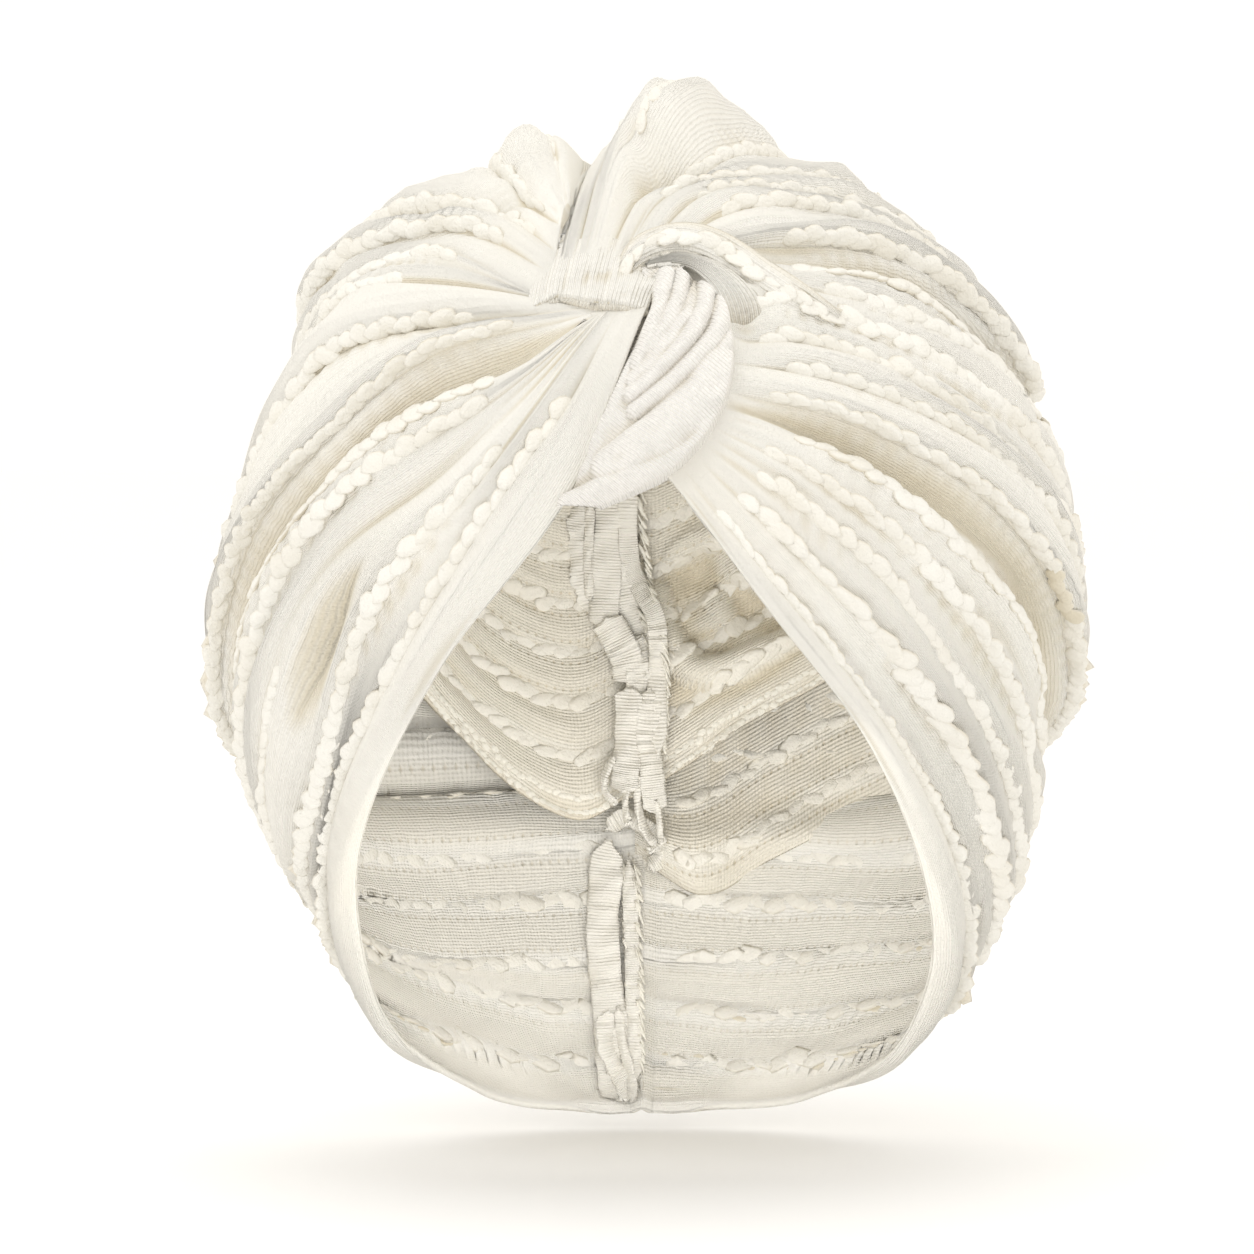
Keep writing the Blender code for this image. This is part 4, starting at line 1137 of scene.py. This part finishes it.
# Pleats of the knot's tongue: height, width, how full each is at its two ends, and its line in (x, z)
# from the top right to the lower left
TONGUE_PLEATS = [
    Ridge(4.4, 2.3, 1.0, 0.4, [(5.2, -21.6), (3.4, -27.5), (1.4, -34.5), (-1.0, -41)]),
    Ridge(4.0, 2.2, 0.9, 0.4, [(8.6, -21.8), (7.2, -27.5), (3.6, -34.5), (0.4, -40.5)]),
    Ridge(3.2, 3.0, 0.7, 0.6, [(11.2, -26.0), (8.2, -32.5), (4.0, -38.5), (-1.0, -44.5)]),
    Ridge(5.4, 2.2, 1.0, 0.5, [(14.0, -23.6), (12.6, -30.5), (8.4, -37.4), (2.6, -43.4), (-2.5, -47.5)]),
    Ridge(4.6, 2.5, 0.9, 0.5, [(17.0, -28.0), (15.6, -34.5), (10.2, -41.0), (4.4, -46.4), (-1.5, -51.0)]),
    Ridge(3.6, 2.2, 0.9, 0.4, [(18.6, -35.5), (14.6, -41.0), (9.0, -46.4), (3.4, -50.4)]),
    Ridge(5.2, 6.0, 0.9, 0.6, [(16.0, -42.5), (12.0, -49.5), (6.2, -55.0), (-1.0, -60.0), (-6.0, -63.0)]),
    Ridge(4.6, 3.2, 0.9, 0.7, [(14.4, -52.5), (8.6, -59.8), (0.6, -64.0), (-8.0, -67.2), (-16.0, -70.6)]),
]
PLEAT_ALONG = (-0.62, -0.78)
TONGUE_TUCK = 2.2           # how far the tongue runs on under the left panel's rim


def make_tongue():
    order = TONGUE[::-1]
    heights = column(order, "z")
    z = np.linspace(TONGUE[0].z + 1.2, TONGUE[-1].z, 121)
    fields = ("left", "under", "right", "rise")
    left_x, edge, right_x, rise = (smooth(heights, column(order, name), z) for name in fields)
    edge = edge - TONGUE_TUCK
    left_x = left_x - TONGUE_TUCK
    v = np.concatenate([np.linspace(-0.25, -0.02, 5), np.linspace(0, 1, 116)])
    grid = np.zeros((len(z), len(v), 3))
    flat_x = np.where(v[None, :] < 0, edge[:, None] + (edge - left_x)[:, None] * v[None, :] / 0.25,
                      edge[:, None] + (right_x - edge)[:, None] * v[None, :])
    flat_z = np.broadcast_to(z[:, None], flat_x.shape)
    roll = ridge_relief(flat_x, flat_z, TONGUE_PLEATS)
    along = flat_x * PLEAT_ALONG[0] + flat_z * PLEAT_ALONG[1]
    beside = flat_x * PLEAT_ALONG[1] - flat_z * PLEAT_ALONG[0]
    crumple = 1.05 * wave_sum(CREASES, beside / 7, along / 30)
    under = step(v, 0.0, 0.07)[None, :] * (1 - 0.75 * step(v, 0.94, 1.0)[None, :])
    bow = np.sin(math.pi * (0.15 + 0.72 * np.clip(v, 0, 1)))[None, :]
    out = (rise[:, None] - 4.2) * bow + roll + crumple
    out = -UNDER_RIM + (out + UNDER_RIM) * under
    for r in range(len(z)):
        for c in range(len(v)):
            spot = form_point(way_to(flat_x[r, c], z[r]))
            o = out[r, c]
            grid[r, c] = spot + np.array([0.25 * o * flat_x[r, c] / 60, -o, 0.25 * o])
    # Painted shade in the tongue's hollows.
    low = hollows(grid, outward(grid), 5, 5, 0.8)
    inner = grid - outward(grid) * 1.2
    uv = np.stack([beside * 0.001, along * 0.001], axis=-1)
    return shell("turban_knot_tongue", grid, inner, uv, low, (knot_cloth, knot_cloth), coarse=2)


COLLAR_REACH = 10.0         # how far the collar's cloth runs up into the crown's gathers
COLLAR_LIP = 1.6            # how far its lower lip stands off the panels


def front_finder(*grids):
    """Reads how far forward the panels' faces lie at a point (x, z)."""
    points = np.concatenate([grid.reshape(-1, 3) for grid in grids])
    points = points[points[:, 1] < -10]
    tree = KDTree(len(points))
    for i, (x, y, z) in enumerate(points):
        tree.insert((x, 0, z), i)
    tree.balance()
    return lambda x, z: float(np.min([points[i, 1] for _, i, _ in tree.find_n((x, 0, z), 4)]))


def make_collar():
    front = front_finder(left_grids[0][:, 8:220], right_grids[0][:, 8:160])
    xs = column(COLLAR, "x")
    fine = np.linspace(xs[0] - 2.0, xs[-1] + 2.0, 101)
    v = np.linspace(0, 1, 41)
    at = np.clip(fine, xs[0], xs[-1])
    z0, half = (smooth(xs, column(COLLAR, name), at) for name in ("z", "half_width"))
    ends = np.clip(np.minimum(fine - fine[0], fine[-1] - fine) / 6.0, 0, 1) ** 0.7
    sag = 2.4 * np.exp(-((fine + 11.0) / 6.0) ** 2)
    down = (z0 - 0.8 * half - sag)[None, :] + (COLLAR_REACH + half + sag)[None, :] * v[:, None]
    across_x = fine[None, :] + (4.5 + 0.10 * fine[None, :]) * v[:, None] ** 1.2
    base = np.array([[front(x, z) for x, z in zip(*pair)] for pair in zip(across_x, down)])
    base = blur(blur(base, 0, 3), 1, 5)
    w = v[:, None]
    gather = 0.42 * np.sin(1.55 * fine[None, :] + 1.5 * w) + 0.22 * np.sin(2.9 * fine[None, :] - 2.0 * w)
    round_lip = np.sqrt(np.clip(1 - (1 - np.minimum(w / 0.14, 1.0)) ** 2, 0, 1))
    out = (COLLAR_LIP * (1 - w) ** 1.5 + 1.0) * round_lip * ends
    out = out - 3.0 * (1 - np.minimum(w / 0.14, 1.0)) ** 2 - 2.2 * step(w, 0.45, 1.0) - 0.8 * (1 - ends)
    out = out + gather * ends * np.clip(w / 0.15, 0, 1) * (1 - 0.5 * w)
    grid = np.stack([across_x, base - out, down + 0.15 * out], axis=-1)
    inner = grid - outward(grid) * 1.0
    # Painted shade in the collar's hollows.
    low = hollows(grid, outward(grid), 3, 3, 0.6)
    uv = np.stack(np.broadcast_arrays((v * 0.014)[:, None], (fine * 0.001)[None, :]), axis=-1)
    return shell("turban_knot_collar", grid, inner, uv, low, (outer_cloth, outer_cloth), coarse=2)


# The rolled edge of the right panel that arches over the knot: its line, half width and rise
Arch = namedtuple("Arch", "x z half rise")
ARCH = [
    Arch(-5.0, -21.5, 1.6, 0.8), Arch(-0.9, -16.6, 3.0, 2.4), Arch(4.0, -14.4, 3.7, 3.1),
    Arch(10.0, -13.9, 4.0, 3.1), Arch(17.0, -16.4, 4.2, 2.6), Arch(25.0, -21.8, 4.2, 2.0),
    Arch(33.5, -27.0, 3.8, 1.3), Arch(42.0, -31.6, 2.4, 0.2),
]


def make_arch():
    front = front_finder(right_grids[0][:, 8:200])
    knots = np.arange(len(ARCH))
    reach = np.linspace(0, len(ARCH) - 1, 181)
    x, z, half, rise = (smooth(knots, column(ARCH, name), reach) for name in Arch._fields)
    ahead = unit(np.stack([np.gradient(x), np.gradient(z)], axis=-1))
    w = np.linspace(-1.15, 1.15, 31)
    base = np.array([front(a, b) for a, b in zip(x, z)])
    base = np.convolve(np.pad(base, 12, mode="edge"), np.ones(25) / 25, "valid")
    grid = np.zeros((len(w), len(reach), 3))
    low = np.zeros((len(w), len(reach)))
    for i in range(len(reach)):
        for j, v in enumerate(w):
            swell = math.sqrt(max(1 - v * v, 0.0)) if abs(v) < 1 else -0.4 * (abs(v) - 1) / 0.15
            out = rise[i] * swell + 0.22 * math.sin(9 * v + reach[i] * 3)
            over = v * half[i]
            grid[j, i] = (x[i] - ahead[i, 1] * over, base[i] - out, z[i] + ahead[i, 0] * over + 0.2 * out)
            # Painted shade on the flanks of the roll, where it turns down to the panel.
            low[j, i] = np.clip(abs(v) - 0.4, 0, 1)
    normal = outward(grid)
    uv = np.stack(np.broadcast_arrays((reach * 0.008)[None, :], (w * 0.0035)[:, None]), axis=-1)
    inner = grid - normal * 1.1
    obj = shell("turban_panel_right_arch", grid, inner, uv, low, (outer_cloth, outer_cloth), coarse=2)
    puffs = Puffs(FINE_BALL, 71)
    middle = len(w) // 2 + 2
    puffs.along(grid[middle], normal[middle], np.full(len(reach), 8.0), 0.85, 25, height=0.8)
    return obj, puffs.mesh("turban_panel_right_arch_puffs", (puff_cloth,))


# The stripe of the right panel that bends down behind the knot, under the arch: its two borders
FLAP_OUTER = [
    (1.5, -17.8), (8, -15.8), (16, -17.6), (22.5, -21.6), (26.5, -26.2), (27.4, -30.2), (25.4, -33.2),
]
FLAP_INNER = [
    (0.6, -19.6), (6, -19.2), (10.6, -20.4), (14.2, -23.8), (16.2, -28.0), (17.2, -31.8), (18.4, -34.4),
]


def make_flap():
    front = front_finder(right_grids[0][:, 8:160])
    knots = np.arange(len(FLAP_OUTER))
    reach = np.linspace(0, len(FLAP_OUTER) - 1, 81)
    far, near = (np.stack([smooth(knots, np.array(line)[:, k], reach) for k in (0, 1)], axis=-1)
                 for line in (FLAP_OUTER, FLAP_INNER))
    w = np.linspace(0, 1, 41)
    flat = near[None] + (far - near)[None] * w[:, None, None]
    base = np.array([[front(x, z) for x, z in row] for row in flat])
    base = blur(blur(base, 0, 4), 1, 4)
    s = (reach / reach[-1])[None, :]
    ww = w[:, None]
    bow = 2.4 * np.sin(math.pi * np.clip(ww * 0.9 + 0.12, 0, 1)) * (1 - 0.75 * step(s, 0.55, 1.0))
    lip = 1.2 * (1 - ww) * step(s, 0.1, 0.4) * (1 - step(s, 0.6, 0.95))
    out = bow + lip + 0.35 * np.sin(9 * ww + 3 * s) - 1.6 * step(s, 0.7, 1.0) - 0.5
    grid = np.stack([flat[..., 0], base - out, flat[..., 1] + 0.2 * out], axis=-1)
    # Painted shade in the flap's hollows, and more of it towards its lower end, which tucks in under the
    # arch.
    low = np.clip(hollows(grid, outward(grid), 3, 3, 0.5) + step(s, 0.45, 1.0), 0, 1)
    inner = grid - outward(grid) * 1.0
    uv = np.stack(np.broadcast_arrays((reach * 0.006)[None, :], (w * 0.0085)[:, None]), axis=-1)
    return shell("turban_panel_right_flap", grid, inner, uv, low, (flap_cloth, flap_cloth), coarse=2)


# The fold of the right panel that hangs over the nape below the right drape: upper border, which the
# drape hides, and free lower edge
NAPE_TOP = [(-1.5, -142), (6, -140), (14, -136), (29, -127), (46, -117), (62, -109)]
NAPE_EDGE = [
    (-1.5, -162), (5.8, -167.4), (14.3, -171.6), (19.5, -170.8),
    (29, -164.6), (38.6, -159.2), (50.8, -152.4), (62, -146),
]
NAPE_ROWS = (0.36, 0.76)    # how far down it its two puffed strips run


def make_nape_fold():
    x = np.linspace(-1.5, 62, 141)
    top, edge = (smooth(np.array(line)[:, 0], np.array(line)[:, 1], x) for line in (NAPE_TOP, NAPE_EDGE))
    b = np.linspace(0, 1, 71)[:, None]
    z = top[None, :] + (edge - top)[None, :] * b
    base = np.array([[panel_depth(px, pz) for px, pz in zip(x, row)] for row in z])
    base = blur(blur(base, 0, 3), 1, 4)
    stand = 3.3 + 5.4 * np.exp(-((x - 10.5) / 8.5) ** 2) - 2.0 * step(x, 40, 62)
    stand = stand * (0.35 + 0.65 * step(x, -1.5, 6))
    round_edge = np.sqrt(np.clip(1 - (np.clip(b - 0.80, 0, 1) / 0.205) ** 2, 0, 1))
    rise = (0.35 + 0.65 * step(b, 0.0, 0.75)) * round_edge
    out = stand[None, :] * rise + 0.35 * np.sin(b * 9 + x[None, :] * 0.15)
    out = out + 0.25 * np.sin(x[None, :] * 0.9 + 4 * b) * np.clip(1 - b, 0, 1) - 0.4
    grid = np.stack(np.broadcast_arrays(x[None, :], base - out, z), axis=-1)
    face = outward(grid)
    face = face * np.where(face[..., 1:2] > 0, -1, 1)
    # Painted shade in the fold's hollows, and a little more from x 14 to 22 mm outward, where the fold lies
    # in shade.
    low = np.clip(hollows(grid, face, 4, 4, 0.7) + 0.08 * step(x, 14, 22)[None, :], 0, 1)
    stripe = np.interp(b[:, 0], [0, NAPE_ROWS[0], NAPE_ROWS[1], 1], [0.1, 1, 2, 2.55])[:, None]
    uv = np.stack(np.broadcast_arrays((x * 0.00115)[None, :], stripe * STRIPE * 0.001), axis=-1)
    inner = grid - face * 1.1
    obj = shell("turban_panel_right_nape", grid, inner, uv, low, (drape_cloth, drape_cloth), None, 2, stripe)
    puffs = Puffs(SMALL_BALL, 81)
    for place in NAPE_ROWS:
        row = int(round(place * 70))
        shown = slice(22, 136)
        puffs.along(grid[row, shown], face[row, shown], np.full(114, 9.0), 0.95, 32, height=0.75, zigzag=True)
    return obj, puffs.mesh("turban_panel_right_nape_puffs", (drape_puff_cloth,))


flap = make_flap()
nape_fold, nape_puffs = make_nape_fold()
arch, arch_puffs = make_arch()
tongue = make_tongue()
collar = make_collar()

# Each sheet of cloth: its mesh, the node it stands for, its slot, how it is held, what goes with it,
# and its width when laid flat, in metres
right_extras = (right_puffs, right_inner, arch, arch_puffs, flap, nape_fold, nape_puffs)
Sheet = namedtuple("Sheet", "obj node slot held extras width")
SHEETS = [
    Sheet(left, "panel_left", "jersey", "gathered", (left_puffs, left_inner), 0.20),
    Sheet(right, "panel_right", "jersey", "gathered", right_extras, 0.22),
    Sheet(tongue, "knot_tongue", "jersey_knot", "gathered", (), 0.04),
    Sheet(collar, "knot_collar", "jersey_knot", "folded", (), 0.014),
    Sheet(drape_left, "drape_left", "jersey_inside", "hung", (drape_left_puffs, hem_left), 0.13),
    Sheet(drape_right, "drape_right", "jersey_inside", "hung", (drape_right_puffs, hem_right), 0.13),
    Sheet(ruffle_upper, "seam_ruffle_upper", "raw_seam", "gathered", (stitch_upper,), 0.013),
    Sheet(ruffle_lower, "seam_ruffle_lower", "raw_seam", "gathered", (stitch_lower,), 0.013),
]
for sheet in SHEETS:
    area = shell_area(sheet.obj)
    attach(sheet.obj, "root")
    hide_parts(sheet.node)
    for extra in sheet.extras:
        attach(extra, "root")
    print("flat", sheet.node, round(sheet.width, 4), round(area / sheet.width, 4))

# Floor, light and camera
FLOOR_Z = -0.2262
FLOOR_REACH = 6.0
CAMERA_DISTANCE = 1.4
CAMERA_TILT = math.radians(3)
PIXEL = 0.00023             # size of one photo pixel at the hat
IMAGE = 1254                # photo's width and height in pixels
MIDDLE_COLUMN = 642         # photo column of the hat's middle plane
ZERO_ROW = 185              # photo row of height zero
AIM = Vector(((IMAGE / 2 - MIDDLE_COLUMN) * PIXEL, 0, (ZERO_ROW - IMAGE / 2) * PIXEL))

floor_mesh = bpy.data.meshes.new("floor")
corners = [(x * FLOOR_REACH, y * FLOOR_REACH, FLOOR_Z) for x, y in ((-1, -1), (1, -1), (1, 1), (-1, 1))]
floor_mesh.from_pydata(corners, [], [(0, 1, 2, 3)])
floor = add_object("floor", floor_mesh)
pale = bpy.data.materials.new("pale floor")
_, pale_shader = material_nodes(pale)
pale_shader.inputs["Base Color"].default_value = (0.99, 0.99, 0.99, 1)
pale_shader.inputs["Roughness"].default_value = 0.9
floor_mesh.materials.append(pale)

camera = add_object("camera", bpy.data.cameras.new("camera"))
camera.location = AIM + CAMERA_DISTANCE * Vector((0, -math.cos(CAMERA_TILT), math.sin(CAMERA_TILT)))
camera.rotation_euler = (AIM - camera.location).to_track_quat("-Z", "Y").to_euler()
camera.data.sensor_width = 36
camera.data.lens = 18 * CAMERA_DISTANCE / (IMAGE / 2 * PIXEL)
camera.data.clip_end = 50
bpy.context.scene.camera = camera

Lamp = namedtuple("Lamp", "name place aim size power spread")
LAMPS = [
    Lamp("key", (-0.8, -1.0, 1.1), AIM, 0.6, 2.7, 180),
    Lamp("front", (0.15, -1.9, -0.02), AIM, 0.7, 1.9, 180),
    Lamp("inside", (0.0, -0.062, -0.168), Vector((0, 0.08, -0.115)), 0.09, 0.058, 125),
    Lamp("top", (0.0, -0.35, 1.3), AIM, 0.9, 2.7, 180),
]
LAMP_COLOUR = (0.95, 0.975, 1.0)
INSIDE_LAMP_COLOUR = (1.0, 0.975, 0.93)
for lamp in LAMPS:
    data = bpy.data.lights.new(lamp.name, "AREA")
    data.size = lamp.size
    data.energy = lamp.power
    data.color = INSIDE_LAMP_COLOUR if lamp.name == "inside" else LAMP_COLOUR
    data.spread = math.radians(lamp.spread)
    obj = add_object(lamp.name, data)
    obj.location = lamp.place
    obj.rotation_euler = (lamp.aim - Vector(lamp.place)).to_track_quat("-Z", "Y").to_euler()

world = bpy.data.worlds.new("studio")
world.use_nodes = True
world.node_tree.nodes["Background"].inputs["Color"].default_value = (1.0, 0.97, 0.925, 1)
world.node_tree.nodes["Background"].inputs["Strength"].default_value = 1.085
bpy.context.scene.world = world
bpy.context.scene.view_settings.view_transform = "Standard"
